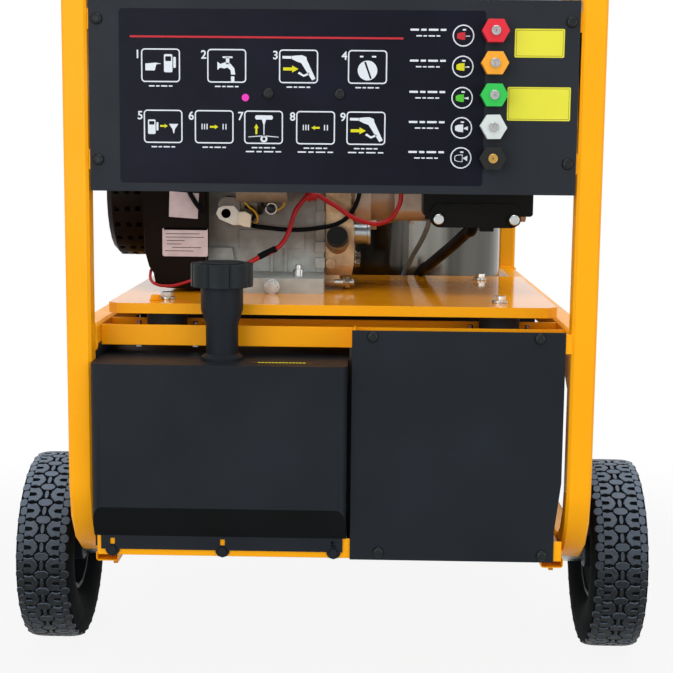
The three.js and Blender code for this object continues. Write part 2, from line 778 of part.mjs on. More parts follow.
/** Name and place of each of the four rubber mounts. */
function mountPlaces() {
  return [
    ['front_left', -MOUNT_X, MOUNT_FRONT_Y],
    ['front_right', MOUNT_X, MOUNT_FRONT_Y],
    ['rear_left', -MOUNT_X, MOUNT_REAR_Y],
    ['rear_right', MOUNT_X, MOUNT_REAR_Y],
  ];
}
add('engine_plate', enginePlate(), MATERIALS.orange);

for (const [name, x, y] of mountPlaces()) {
  const foot = block(x - 44, x + 44, y - 16, y + 16, CROSS_FLOOR, CROSS_FLOOR + 3);
  const buffer = rod('z', [x, y, 0], MOUNT_RADIUS, CROSS_FLOOR, DECK_TOP - DECK_SHEET, 12);
  add(`engine_mount_${name}`, fuse(foot, buffer), MATERIALS.rubber);
}

// ---------------------------------------------------------------- engine

const TILT = THREE.MathUtils.degToRad(CYLINDER_ANGLE);
const CYLINDER_X = (CASE_LEFT + CASE_RIGHT) / 2;
const CASE_HALF = CYLINDER_WIDTH / 2;

/** A point given by its distance along the cylinder's axis and its offset square to it, in Y and Z. */
function alongCylinder(distance, offset) {
  return [
    CRANK_Y + distance * Math.cos(TILT) - offset * Math.sin(TILT),
    CRANK_Z + distance * Math.sin(TILT) + offset * Math.cos(TILT),
  ];
}

/** The crankcase casting with its foot, ribs, side panel, drain bolts and tank brackets. */
function crankcase() {
  const footTop = DECK_TOP + FOOT_HEIGHT;
  const upper = alongCylinder(CYLINDER_START, CASE_HALF);
  const lower = alongCylinder(CYLINDER_START, -CASE_HALF);
  const outline = polygon([
    [FOOT_FRONT, DECK_TOP],
    [FOOT_REAR, DECK_TOP],
    [FOOT_REAR, footTop],
    [lower[0], footTop + 4],
    lower,
    upper,
    [CASE_FRONT + 32, STARTER_Z + 42],
    [CASE_FRONT, STARTER_Z],
    [CASE_FRONT, footTop + 5],
    [FOOT_FRONT, footTop],
  ]);
  const face = CASE_FRONT;
  const ribs = [-88, -69].map((x) => block(x - 2, x + 2, face - 3, face + 1, footTop + 4, CRANK_Z - 76));
  const pad = block(-133, -43, face - 2.5, face + 1, CRANK_Z - 76, CRANK_Z - 51);
  const shelf = extrude(
    polygon([
      [CASE_LEFT, footTop],
      [-136, footTop],
      [-142, CRANK_Z - 75],
      [CASE_LEFT, CRANK_Z - 75],
    ]),
    'y', face - 9, face + 1,
  );
  const boss = cut(
    extrude(roundedRectangle(-160, -129, CRANK_Z - 40, CRANK_Z - 6, 10), 'y', face - 20, face + 1, 2),
    rod('y', [-145, 0, CRANK_Z - 25], 6.5, face - 21, face - 8, 10),
  );
  const drain = fuse(
    rod('y', [-84, 0, DECK_TOP + 9.5], 9, FOOT_FRONT - 3, FOOT_FRONT + 1, 12),
    extrude(hexagon(-84, DECK_TOP + 9.5, 14), 'y', FOOT_FRONT - 10, FOOT_FRONT - 2),
  );
  const stud = fuse(
    extrude(hexagon(-50, CASE_FRONT - 28, 13), 'z', footTop, footTop + 10),
    rod('z', [-50, CASE_FRONT - 28, 0], 4, footTop + 5, footTop + 17, 8),
  );
  const brackets = [CASE_LEFT + 8, CASE_RIGHT - 28].map((x) =>
    block(x, x + 20, CRANK_Y - 35, CRANK_Y + 25, STARTER_Z, ENGINE_TANK_BOTTOM),
  );
  const seam = block(CASE_RIGHT - 12, CASE_RIGHT, face - 3, face + 1, footTop + 4, CRANK_Z + 32);
  const lugs = [-95, -73, -55, -32].map((dz) =>
    block(CASE_RIGHT - 13, CASE_RIGHT, face - 7, face, CRANK_Z + dz - 7, CRANK_Z + dz + 7),
  );
  return fuse(extrude(outline, 'x', CASE_LEFT, CASE_RIGHT), ...ribs, pad, shelf, boss, drain, stud, ...brackets, seam, ...lugs);
}
add('crankcase', crankcase(), MATERIALS.casting);

const FILLER_TILT = THREE.MathUtils.degToRad(FILLER_LEAN);

/** Places a body made along +Z so that it points forwards and up at the oil filler. */
function atFiller(body) {
  const degrees = THREE.MathUtils.radToDeg(HALF_TURN / 2 - FILLER_TILT);
  return body.rotate([degrees, 0, 0]).translate([FILLER_X, CASE_FRONT + 12, FILLER_Z - 10]);
}

/** The cover on the drive side: bearing cover, belly over the foot, bolts, end boss and oil filler neck. */
function crankcaseCover() {
  const foot = DECK_TOP + COVER_FOOT;
  const round = rod('x', [0, CRANK_Y, CRANK_Z], COVER_RADIUS, CASE_RIGHT, COVER_RIGHT - 5, 20);
  const bearing = rod('x', [0, CRANK_Y, CRANK_Z], COVER_RADIUS - 14, COVER_RIGHT - 6, COVER_RIGHT);
  const side = roundedRectangle(CASE_FRONT, CRANK_Y + 104, foot, CRANK_Z, 16);
  const front = polygon([
    [CASE_RIGHT, foot],
    [COVER_RIGHT - 3, foot],
    [COVER_RIGHT, foot + 20],
    [COVER_RIGHT, foot + 62],
    [COVER_RIGHT - 5, CRANK_Z],
    [CASE_RIGHT, CRANK_Z],
  ]);
  const belly = extrude(side, 'x', CASE_RIGHT, COVER_RIGHT, 2).intersect(
    extrude(front, 'y', CASE_FRONT, CRANK_Y + 104),
  );
  const bolts = [
    [CRANK_Y + 88, foot + 16],
    [CRANK_Y + 30, foot + 12],
  ].map(([y, z]) => extrude(hexagon(y, z, 12), 'x', COVER_RIGHT - 6, COVER_RIGHT + 7));
  const endBoss = fuse(
    rod('x', [0, CASE_FRONT + 16, DECK_TOP + 10], 7, CASE_RIGHT, COVER_RIGHT - 6, 12),
    block(CASE_RIGHT, COVER_RIGHT - 20, CASE_FRONT + 10, CASE_FRONT + 22, DECK_TOP + 8, foot + 4),
    rod('x', [0, CASE_FRONT + 16, DECK_TOP + 10], 4.5, COVER_RIGHT - 7, COVER_RIGHT - 1, 8),
  );
  const sideBoss = rod('y', [CASE_RIGHT + 8, 0, CRANK_Z - 96], 7, CASE_FRONT - 6, CASE_FRONT + 2, 12);
  const neck = atFiller(rod('z', [0, 0, 0], FILLER_RADIUS, -10, 24, 16));
  return fuse(round, bearing, belly, ...bolts, endBoss, sideBoss, neck);
}
add('crankcase_cover', crankcaseCover(), MATERIALS.casting);
add('oil_filler_cap', atFiller(rod('z', [0, 0, 0], FILLER_RADIUS - 1.7, 24 + GAP, 34)), MATERIALS.plastic);

/** The finned barrel and head, leaning back from the crankcase. */
function cylinder() {
  const half = CYLINDER_WIDTH / 2;
  const barrelLength = FIN_COUNT * FIN_PITCH;
  const slab = (from, to, across, height) =>
    block(CYLINDER_X - across, CYLINDER_X + across, -height, height, from, to);
  const parts = [slab(CYLINDER_START + GAP, CYLINDER_START + barrelLength, half * 0.7, half * 0.7)];
  parts.push(slab(CYLINDER_START + GAP, CYLINDER_START + 8, half - 4, half - 8));
  for (let i = 1; i < FIN_COUNT; i++) {
    const foot = CYLINDER_START + i * FIN_PITCH;
    parts.push(slab(foot, foot + FIN_THICKNESS, half, half - 6));
  }
  const headFoot = CYLINDER_START + barrelLength - 1;
  parts.push(slab(headFoot, headFoot + 34, half - 10, half - 14));
  for (let i = 0; i < 3; i++) {
    const foot = headFoot + 4 + i * FIN_PITCH;
    parts.push(slab(foot, foot + FIN_THICKNESS, half, half - 6));
  }
  parts.push(slab(headFoot + 33, headFoot + 60, half - 28, half - 30));
  const upright = fuse(...parts);
  return upright.rotate([CYLINDER_ANGLE - 90, 0, 0]).translate([0, CRANK_Y, CRANK_Z]);
}
add('cylinder', cylinder(), MATERIALS.casting);

/** The sheet-metal fan shroud round the flywheel. */
function blowerHousing() {
  const outline = (inset) =>
    roundedRectangle(
      CRANK_Y - SHROUD_HALF + inset,
      CRANK_Y + SHROUD_HALF - inset,
      SHROUD_BOTTOM + inset,
      SHROUD_TOP - inset,
      SHROUD_CORNER - inset,
    );
  const taper = (inset) =>
    polygon([
      [SHROUD_RIGHT - inset, SHROUD_BOTTOM + inset],
      [SHROUD_RIGHT - inset, SHROUD_TOP - inset],
      [SHROUD_LEFT + inset, SHROUD_TOP - inset],
      [SHROUD_LEFT + inset, SHROUD_BOTTOM + 92],
      [SHROUD_LEFT + 9 + inset, SHROUD_BOTTOM + 35],
      [SHROUD_LEFT + 21 + inset, SHROUD_BOTTOM + 8],
      [SHROUD_LEFT + 32 + inset, SHROUD_BOTTOM + inset],
    ]);
  const shell = (inset) =>
    extrude(outline(inset), 'x', SHROUD_LEFT + inset, SHROUD_RIGHT - inset, 4).intersect(
      extrude(taper(inset), 'y', CRANK_Y - SHROUD_HALF, CRANK_Y + SHROUD_HALF),
    );
  const centre = [0, CRANK_Y, CRANK_Z];
  return cut(
    shell(0),
    shell(SHROUD_SHEET),
    rod('x', centre, RECOIL_RADIUS - 14, SHROUD_LEFT - 1, SHROUD_LEFT + SHROUD_SHEET + 1, 20),
    rod('x', centre, 50, SHROUD_RIGHT - SHROUD_SHEET - 1, SHROUD_RIGHT + 1, 12),
  );
}
add('blower_housing', blowerHousing(), MATERIALS.black);

/** The recoil starter's cover: a thin cup with two rings of slots and a ring of slots in its face. */
function recoilCover() {
  const centre = [0, CRANK_Y, CRANK_Z];
  const [r, t] = [RECOIL_RADIUS, RECOIL_SHEET];
  const cup = [
    [0, RECOIL_LEFT],
    [r - 9, RECOIL_LEFT],
    [r, RECOIL_LEFT + 8],
    [r, SHROUD_LEFT],
    [r - t, SHROUD_LEFT],
    [r - t, RECOIL_LEFT + 9],
    [r - 10, RECOIL_LEFT + t],
    [0, RECOIL_LEFT + t],
  ];
  const rings = [RECOIL_LEFT + 11, SHROUD_LEFT - 16];
  const slots = [];
  for (let i = 0; i < RECOIL_ROWS; i++) {
    const turn = (360 * i) / RECOIL_ROWS;
    for (const from of rings) {
      const slot = block(from, from + RECOIL_SLOT, -RECOIL_SLOT / 2, RECOIL_SLOT / 2, r - 12, r + 2);
      slots.push(slot.rotate([turn, 0, 0]).translate(centre));
    }
    if (i % 4 === 0) {
      const vent = block(RECOIL_LEFT - 1, RECOIL_LEFT + 4, -4, 4, r * 0.42, r * 0.74);
      slots.push(vent.rotate([turn, 0, 0]).translate(centre));
    }
  }
  const guide = block(SHROUD_LEFT - 30, SHROUD_LEFT - 6, CRANK_Y - 11, CRANK_Y + 11, CRANK_Z + r - 4, CRANK_Z + r + 12);
  return fuse(cut(revolve('x', centre, cup, RECOIL_ROWS), ...slots), guide);
}
add('recoil_cover', recoilCover(), MATERIALS.black);

/** The pull handle of the recoil starter, seated on the rope guide. */
function recoilHandle() {
  const foot = CRANK_Z + RECOIL_RADIUS + 12 + GAP;
  const x = SHROUD_LEFT - 18;
  const grip = extrude(roundedRectangle(x - 10, x + 10, foot + 12, foot + 32, 8), 'y', CRANK_Y - 52, CRANK_Y + 52, 3);
  return fuse(grip, rod('z', [x, CRANK_Y, 0], 7, foot, foot + 14, 10));
}
add('recoil_handle', recoilHandle(), MATERIALS.plastic);

const ENGINE_TANK_X = CYLINDER_X - 2;
const ENGINE_TANK_Y = CRANK_Y + 12;
const ENGINE_TANK_TOP = ENGINE_TANK_BOTTOM + ENGINE_TANK_HEIGHT;

/** The engine's own fuel tank: a pressed shell with a filler hole. */
function engineTank() {
  const shell = (inset) => {
    const [w, d] = [ENGINE_TANK_WIDTH / 2 - inset, ENGINE_TANK_DEPTH / 2 - inset];
    const plan = roundedRectangle(ENGINE_TANK_X - w, ENGINE_TANK_X + w, ENGINE_TANK_Y - d, ENGINE_TANK_Y + d, 34 - inset);
    const [z0, z1] = [ENGINE_TANK_BOTTOM + inset, ENGINE_TANK_TOP - inset];
    const front = roundedRectangle(ENGINE_TANK_X - w, ENGINE_TANK_X + w, z0, z1, 30 - inset);
    return extrude(plan, 'z', z0, z1, 2).intersect(
      extrude(front, 'y', ENGINE_TANK_Y - d, ENGINE_TANK_Y + d, 2),
    );
  };
  const filler = [ENGINE_TANK_X, ENGINE_TANK_Y, 0];
  const neck = rod('z', filler, 24, ENGINE_TANK_TOP - 3, ENGINE_TANK_TOP + 6, 14);
  const bore = rod('z', filler, 20, ENGINE_TANK_TOP - 6, ENGINE_TANK_TOP + 8, 14);
  return cut(fuse(cut(shell(0), shell(TANK_SHEET)), neck), bore);
}
add('engine_fuel_tank', engineTank(), MATERIALS.black);

/** A round cap that covers a filler neck, with finger lobes. */
function lobedCap(x, y, foot, radius, height, lobes, plugRadius, plugDepth) {
  const shape = new THREE.Shape();
  const steps = lobes * 4;
  for (let i = 0; i < steps; i++) {
    const angle = (2 * HALF_TURN * i) / steps;
    const reach = radius * (0.96 + 0.04 * Math.cos(lobes * angle));
    const [u, v] = [x + reach * Math.cos(angle), y + reach * Math.sin(angle)];
    if (i === 0) shape.moveTo(u, v);
    else shape.lineTo(u, v);
  }
  return fuse(
    extrude(shape, 'z', foot, foot + height),
    rod('z', [x, y, 0], plugRadius, foot - plugDepth, foot + 1, 14),
  );
}
const engineCap = lobedCap(ENGINE_TANK_X, ENGINE_TANK_Y, ENGINE_TANK_TOP + 6 + GAP, 33, 16, 6, 19, 10);
add('engine_fuel_cap', engineCap, MATERIALS.plastic);

const HEAD_PORT = alongCylinder(CYLINDER_START + FIN_COUNT * FIN_PITCH + 16, 0);

/** The air filter's housing with the carburettor between it and the head. */
function airFilter() {
  const [y, z] = HEAD_PORT;
  const right = CYLINDER_X - CYLINDER_WIDTH / 2 - GAP;
  const box = roundedRectangle(y - 42, y + 50, z - 40, z + 80, 16);
  return fuse(
    extrude(box, 'x', right - 108, right - 30, 3),
    rod('x', [0, y + 2, z], 22, right - 31, right),
  );
}
add('air_filter', airFilter(), MATERIALS.black);

/** The silencer with its exhaust pipe from the head. */
function muffler() {
  const [y, z] = HEAD_PORT;
  const left = CYLINDER_X + CYLINDER_WIDTH / 2 + GAP;
  const box = roundedRectangle(y - 62, y + 38, z + 16, z + 112, 22);
  return fuse(
    extrude(box, 'x', left + 16, left + 170, 4),
    rod('x', [0, y, z], 16, left, left + 34, 12),
    rod('z', [left + 34, y, 0], 16, z - 16, z + 30, 12),
  );
}
add('muffler', muffler(), MATERIALS.zinc);

/** The starter motor with its solenoid, in front of the crankcase. */
function starterMotor() {
  const y = CASE_FRONT - STARTER_RADIUS - GAP;
  const body = rod('x', [0, y, STARTER_Z], STARTER_RADIUS, CASE_LEFT + 8, CASE_RIGHT - 20, 20);
  const solenoid = rod('x', [0, y + 4, STARTER_Z - STARTER_RADIUS - 16], 20, CASE_LEFT + 42, CASE_LEFT + 110);
  const saddle = block(CASE_LEFT + 55, CASE_LEFT + 95, y - 6, y + 14, STARTER_Z - STARTER_RADIUS - 8, STARTER_Z - 20);
  return fuse(body, solenoid, saddle);
}
add('starter_motor', starterMotor(), MATERIALS.black);

// ---------------------------------------------------------------- pump

/** The pump's crankcase with the bell flange that bolts it to the engine. */
function pumpBody() {
  const flangeRight = COVER_RIGHT + FLANGE_THICKNESS;
  const centre = [0, CRANK_Y, CRANK_Z];
  const flange = rod('x', centre, FLANGE_RADIUS, COVER_RIGHT, flangeRight, 20);
  const bell = revolve('x', centre, [
    [0, flangeRight - 1],
    [50, flangeRight - 1],
    [42, PUMP_LEFT + 4],
    [0, PUMP_LEFT + 4],
  ], 16);
  const casing = extrude(roundedRectangle(PUMP_FRONT, PUMP_REAR, PUMP_BOTTOM, PUMP_TOP, 18), 'x', PUMP_LEFT, PUMP_RIGHT, 3);
  const ribs = [0, 1, 2, 3].map((i) => {
    const x = PUMP_LEFT + 22 + i * 46;
    return block(x, x + 5, PUMP_FRONT + 20, PUMP_REAR + 6, PUMP_BOTTOM - 5, PUMP_TOP - 20);
  });
  const bolts = [45, 135, 225, 315].map((degrees) => {
    const angle = THREE.MathUtils.degToRad(degrees);
    const y = CRANK_Y + (FLANGE_RADIUS - 11) * Math.cos(angle);
    const z = CRANK_Z + (FLANGE_RADIUS - 11) * Math.sin(angle);
    return extrude(hexagon(y, z, 13), 'x', flangeRight - 1, flangeRight + 8);
  });
  return fuse(flange, bell, casing, ...ribs, ...bolts);
}
add('pump_body', pumpBody(), MATERIALS.casting);

const HEAD_BACK = PUMP_FRONT - GAP;
const HEAD_MIDDLE = (HEAD_LEFT + HEAD_RIGHT) / 2;

/** The pump's head: manifold block, lower flange with its bolts, valve caps and hose ports. */
function pumpHead() {
  const manifold = extrude(roundedRectangle(HEAD_LEFT, HEAD_RIGHT, HEAD_BOTTOM, HEAD_TOP, 4), 'y', HEAD_FRONT + 8, HEAD_BACK, 2);
  const flange = extrude(roundedRectangle(HEAD_LEFT + 9, HEAD_RIGHT - 17, HEAD_BOTTOM - 15, HEAD_BOTTOM + 16, 13), 'y', HEAD_FRONT, HEAD_FRONT + 26, 4);
  const bolts = [HEAD_LEFT + 20, HEAD_RIGHT - 26].map((x) =>
    rod('y', [x, 0, HEAD_BOTTOM - 4], 6.5, HEAD_FRONT - 6, HEAD_FRONT + 1, 10),
  );
  const plug = block(HEAD_RIGHT - 70, HEAD_RIGHT - 52, HEAD_FRONT + 4, HEAD_FRONT + 22, HEAD_BOTTOM - 20, HEAD_BOTTOM - 14);
  const caps = [-42, 0, 42].map((offset) =>
    extrude(hexagon(HEAD_MIDDLE + offset, HEAD_TOP - 30, 24), 'y', HEAD_FRONT - 2, HEAD_FRONT + 9),
  );
  const ports = [
    rod('z', [HOSE_START[0], HOSE_START[1], 0], PUMP_HOSE_RADIUS + 2.5, HOSE_START[2] + HOSE_GAP, HEAD_BOTTOM + 2, 10),
    rod('z', [FUEL_START[0], FUEL_START[1], 0], FUEL_HOSE_RADIUS + 1.5, FUEL_START[2] + HOSE_GAP, HEAD_BOTTOM + 2, 8),
  ];
  return fuse(manifold, flange, ...bolts, plug, ...caps, ...ports);
}

const HOSE_START = [HEAD_MIDDLE - 3, HEAD_FRONT + 44, HEAD_BOTTOM - 10];
const FUEL_START = [HEAD_LEFT + 9, HEAD_FRONT + 48, HEAD_BOTTOM - 8];
add('pump_head', pumpHead(), MATERIALS.black);

const VALVE_X = HEAD_RIGHT - 36;
const VALVE_Y = HEAD_FRONT + 40;
const VALVE_TOP = HEAD_TOP + 58;

/** The unloader valve on the pump head, with the outlet coupling at its side. */
function unloaderValve() {
  const body = rod('z', [VALVE_X, VALVE_Y, 0], 16, HEAD_TOP, VALVE_TOP - 14, 12);
  const hex = extrude(hexagon(VALVE_X, VALVE_Y, 30), 'z', HEAD_TOP, HEAD_TOP + 14);
  const stem = rod('z', [VALVE_X, VALVE_Y, 0], 6, VALVE_TOP - 16, VALVE_TOP + 8, 8);
  const outlet = rod('x', [0, VALVE_Y, HEAD_TOP + 26], 10, VALVE_X + 8, VALVE_X + 44, 10);
  const collar = rod('x', [0, VALVE_Y, HEAD_TOP + 26], 13, VALVE_X + 26, VALVE_X + 38, 10);
  return fuse(body, hex, stem, outlet, collar);
}
add('unloader_valve', unloaderValve(), MATERIALS.brass);

/** The knob that sets the unloader's pressure, on the valve's stem. */
function unloaderKnob() {
  const foot = VALVE_TOP - 14 + GAP;
  const knob = lobedCap(VALVE_X, VALVE_Y, foot + 1, 20, 26, 5, 17, 1);
  return cut(knob, rod('z', [VALVE_X, VALVE_Y, 0], 6 + 1.5 * GAP, foot - 1, VALVE_TOP + 9, 8));
}
add('unloader_knob', unloaderKnob(), MATERIALS.plastic);

// ---------------------------------------------------------------- boiler and burner

const BOILER_SEGMENTS = 32;
const ELBOW_X = 118;
const NIPPLE_X = 96;

/** Y of the boiler's front surface at a given X. */
const BOILER_FLAT = BOILER_RADIUS * Math.cos(Math.PI / BOILER_SEGMENTS); // out to the middle of a facet
const boilerFront = (x) => BOILER_Y - Math.sqrt(BOILER_FLAT ** 2 - (x - BOILER_X) ** 2);

/** The boiler's stainless shell, open at the top, with its water inlet and drain nipples. */
function boilerShell() {
  const centre = [BOILER_X, BOILER_Y, 0];
  const [r, t] = [BOILER_RADIUS, BOILER_SHEET];
  const cup = revolve('z', centre, [
    [0, BASE_TOP],
    [r, BASE_TOP],
    [r, BOILER_TOP],
    [r - t, BOILER_TOP],
    [r - t, BASE_TOP + t],
    [0, BASE_TOP + t],
  ], BOILER_SEGMENTS);
  const inletY = HOSE_END[1];
  const elbow = fuse(
    rod('y', [ELBOW_X, 0, HOSE_END[2] - 22], 9, inletY, boilerFront(ELBOW_X) + 1, 8),
    rod('z', [ELBOW_X, inletY, 0], 9, HOSE_END[2] - 31, HOSE_END[2] - GAP, 8),
  );
  const nippleY = FUEL_END[1];
  const nipple = fuse(
    rod('y', [NIPPLE_X, 0, FUEL_END[2] - 14], 5, nippleY, boilerFront(NIPPLE_X) + 1, 8),
    rod('z', [NIPPLE_X, nippleY, 0], 5, FUEL_END[2] - 19, FUEL_END[2] - GAP, 8),
  );
  return fuse(cup, elbow, nipple);
}

const HOSE_END = [ELBOW_X, DECK_REAR + 22, DECK_TOP - 75];
const FUEL_END = [NIPPLE_X, DECK_REAR + 20, DECK_TOP - 55];
add('boiler_shell', boilerShell(), MATERIALS.stainless);

/** The boiler's lid with its exhaust collar. */
function boilerCowl() {
  const foot = BOILER_TOP + GAP;
  return revolve('z', [BOILER_X, BOILER_Y, 0], [
    [72, foot],
    [BOILER_RADIUS + 4, foot],
    [BOILER_RADIUS + 4, foot + 16],
    [75, foot + 40],
    [75, foot + 90],
    [72, foot + 90],
    [72, foot],
  ], BOILER_SEGMENTS);
}
add('boiler_cowl', boilerCowl(), MATERIALS.stainless);

/** The burner below the deck: fan housing, motor and the blast tube into the boiler's front. */
function burner() {
  const z = CROSS_FOOT - BURNER_DROP;
  const tubeEnd = boilerFront(BOILER_X) - GAP;
  const housing = rod('x', [0, tubeEnd - 150, z], 78, BOILER_X - 45, BOILER_X + 30);
  const motor = rod('x', [0, tubeEnd - 150, z], 46, BOILER_X + 29, BOILER_X + 120, 12);
  const blast = rod('y', [BOILER_X - 8, 0, z + 20], 45, tubeEnd - 110, tubeEnd, 12);
  const pump = rod('x', [0, tubeEnd - 150, z], 28, BOILER_X - 85, BOILER_X - 44, 12);
  return fuse(housing, motor, blast, pump);
}
add('burner', burner(), MATERIALS.black);

// ---------------------------------------------------------------- fuel tank

/** The welded steel tank with its raked lower front, fixing strip and filler neck. */
function fuelTank() {
  const shell = (inset) => {
    const side = polygon([
      [TANK_FRONT + inset, TANK_CHAMFER_TOP],
      [inset, SILL_TOP + GAP + inset],
      [SILL_BACK + 1 + inset, SILL_TOP + GAP + inset],
      [SILL_BACK + 1 + inset, BASE_TOP + inset],
      [TANK_REAR - inset, BASE_TOP + inset],
      [TANK_REAR - inset, TANK_TOP - inset],
      [TANK_FRONT + inset, TANK_TOP - inset],
    ]);
    const plan = roundedRectangle(
      TANK_LEFT + inset,
      TANK_RIGHT - inset,
      TANK_FRONT + inset,
      TANK_REAR - inset,
      TANK_CORNER - inset,
    );
    return extrude(side, 'x', TANK_LEFT + inset, TANK_RIGHT - inset).intersect(
      extrude(plan, 'z', BASE_TOP + inset, TANK_TOP - inset, 2),
    );
  };
  const boltZ = SILL_TOP - 17;
  const boltPlaces = [TANK_LEFT + 22, TANK_LEFT + TANK_WIDTH / 2 + 3, TANK_RIGHT - 15];
  const strip = fuse(
    block(TANK_LEFT + 8, TANK_RIGHT - 4, 0, SILL_FRONT, boltZ, SILL_TOP + 3),
    ...boltPlaces.map((x) => rod('y', [x, 0, boltZ], 9, 0, SILL_FRONT, 10)),
    ...boltPlaces.map((x) => extrude(hexagon(x, boltZ, 9), 'y', -4, 1)),
  );
  const slots = boltPlaces.map((x) => block(x - 3, x + 3, -6, SILL_FRONT + 1, boltZ + 6, boltZ + 14));
  const centre = [NECK_X, NECK_Y, 0];
  const neck = revolve('z', centre, [
    [NECK_RADIUS - 2, TANK_TOP - 4],
    [NECK_RADIUS + 6, TANK_TOP - 4],
    [NECK_RADIUS + 6, TANK_TOP + 4],
    [NECK_RADIUS, TANK_TOP + 8],
    [NECK_RADIUS, TANK_TOP + 44],
    [NECK_MOUTH_RADIUS, NECK_TOP - 28],
    [NECK_MOUTH_RADIUS, NECK_TOP],
    [NECK_RADIUS - 2, NECK_TOP],
    [NECK_RADIUS - 2, TANK_TOP - 4],
  ], 16);
  const mouth = rod('z', centre, NECK_RADIUS - 2.5, TANK_TOP - 8, TANK_TOP + 2, 16);
  return cut(fuse(cut(shell(0), shell(TANK_SHEET)), cut(strip, ...slots), neck), mouth);
}
add('fuel_tank', fuelTank(), MATERIALS.black);

const fillerCap = lobedCap(NECK_X, NECK_Y, NECK_TOP + GAP, CAP_RADIUS, CAP_HEIGHT, CAP_LOBES, NECK_RADIUS - 3, 14);
add('filler_cap', fillerCap, MATERIALS.plastic);

// ---------------------------------------------------------------- battery bay

/** The sheet bay that holds the battery: floor, inner wall and a front flange for the cover's screws. */
function batteryBox() {
  const right = BAY_RIGHT;
  const front = SILL_BACK + GAP;
  const wallTop = CROSS_FOOT;
  const floor = block(BAY_LEFT, right, front, BAY_REAR, BASE_TOP, BASE_TOP + BAY_SHEET);
  const wall = block(BAY_LEFT, BAY_LEFT + BAY_SHEET, front, BAY_REAR, BASE_TOP, wallTop);
  const upstand = block(BAY_LEFT, BAY_LEFT + BAY_SHEET, COVER_SHEET, CROSS_RAIL_FRONT - GAP, SILL_TOP + GAP, COVER_TOP - 2);
  const flange = block(BAY_LEFT, BAY_LEFT + 34, COVER_SHEET, COVER_SHEET + BAY_SHEET, SILL_TOP + GAP, COVER_TOP - 2);
  const lip = block(BAY_LEFT, right, BAY_REAR - BAY_SHEET, BAY_REAR, BASE_TOP, BASE_TOP + 30);
  return fuse(floor, wall, upstand, flange, lip);
}
add('battery_box', batteryBox(), MATERIALS.orange);

/** The battery: case, lid with a raised edge, and its two posts. */
function battery() {
  const left = BAY_LEFT + BAY_SHEET + 6;
  const front = SILL_BACK + 14;
  const foot = BASE_TOP + BAY_SHEET;
  const [right, back, top] = [left + BATTERY_LENGTH, front + BATTERY_WIDTH, foot + BATTERY_HEIGHT];
  const posts = [left + 26, right - 26].map((x) => rod('z', [x, front + 26, 0], 8, top - 5, top + 18, 10));
  return fuse(
    extrude(roundedRectangle(left + 3, right - 3, front + 3, back - 3, 5), 'z', foot, top - 22, 2),
    extrude(roundedRectangle(left, right, front, back, 6), 'z', top - 23, top, 2),
    ...posts,
  );
}
add('battery', battery(), MATERIALS.plastic);

/** The flat cover in front of the battery bay, with its lower outer corner cut back. */
function coverPlate() {
  const outline = polygon([
    [COVER_LEFT, COVER_BOTTOM],
    [COVER_EDGE - 7, COVER_BOTTOM],
    [COVER_EDGE - 7, COVER_BOTTOM + 40],
    [COVER_EDGE, COVER_BOTTOM + 100],
    [COVER_EDGE, COVER_TOP],
    [COVER_LEFT, COVER_TOP],
  ]);
  const screwPlaces = [
    [COVER_LEFT + 25, COVER_TOP - 7.5],
    [COVER_EDGE - 31, COVER_TOP - 7.5],
    [COVER_LEFT + 35, COVER_BOTTOM + 10],
    [COVER_EDGE - 21.5, COVER_BOTTOM + 9],
  ];
  const screws = screwPlaces.map(([x, z]) => rod('y', [x, 0, z], 6, -3, 1, 8));
  return fuse(extrude(outline, 'y', 0, COVER_SHEET), ...screws);
}
add('cover_plate', coverPlate(), MATERIALS.black);

// ---------------------------------------------------------------- control panel and nozzles

const nozzleHeights = Array.from({ length: 5 }, (_, i) => NOZZLE_TOP_Z - i * NOZZLE_PITCH);

/** The folded panel between the uprights, with a hole for each nozzle and its six screws. */
function controlPanel() {
  const back = PANEL_FRONT + PANEL_SHEET;
  const holes = nozzleHeights.map((z) =>
    rod('y', [NOZZLE_X, 0, z], cornerRadius(NOZZLE_TAIL + 1.5 * GAP, 8), PANEL_FRONT - 1, back + 1, 8),
  );
  const profile = polygon([
    [PANEL_FRONT, PANEL_BOTTOM],
    [PANEL_FRONT + PANEL_RETURN, PANEL_BOTTOM],
    [PANEL_FRONT + PANEL_RETURN, PANEL_BOTTOM + PANEL_SHEET],
    [back, PANEL_BOTTOM + PANEL_SHEET],
    [back, PANEL_TOP - PANEL_SHEET],
    [PANEL_FRONT + PANEL_RETURN, PANEL_TOP - PANEL_SHEET],
    [PANEL_FRONT + PANEL_RETURN, PANEL_TOP],
    [PANEL_FRONT, PANEL_TOP],
  ]);
  const edge = PANEL_HALF_WIDTH - 10;
  const screwPlaces = [
    [-edge, PANEL_TOP - 25],
    [edge, PANEL_TOP - 25],
    [-edge, PANEL_BOTTOM + 37],
    [edge, PANEL_BOTTOM + 37],
    [-MIDDLE_SCREW_PITCH / 2 - 34, PANEL_BOTTOM + MIDDLE_SCREW_RISE],
    [MIDDLE_SCREW_PITCH / 2 - 34, PANEL_BOTTOM + MIDDLE_SCREW_RISE],
  ];
  const screws = screwPlaces.map(([x, z]) => rod('y', [x, 0, z], 6, PANEL_FRONT - 3, PANEL_FRONT + 1, 8));
  return fuse(cut(extrude(profile, 'x', -PANEL_HALF_WIDTH, PANEL_HALF_WIDTH), ...holes), ...screws);
}
add('control_panel', controlPanel(), MATERIALS.black);

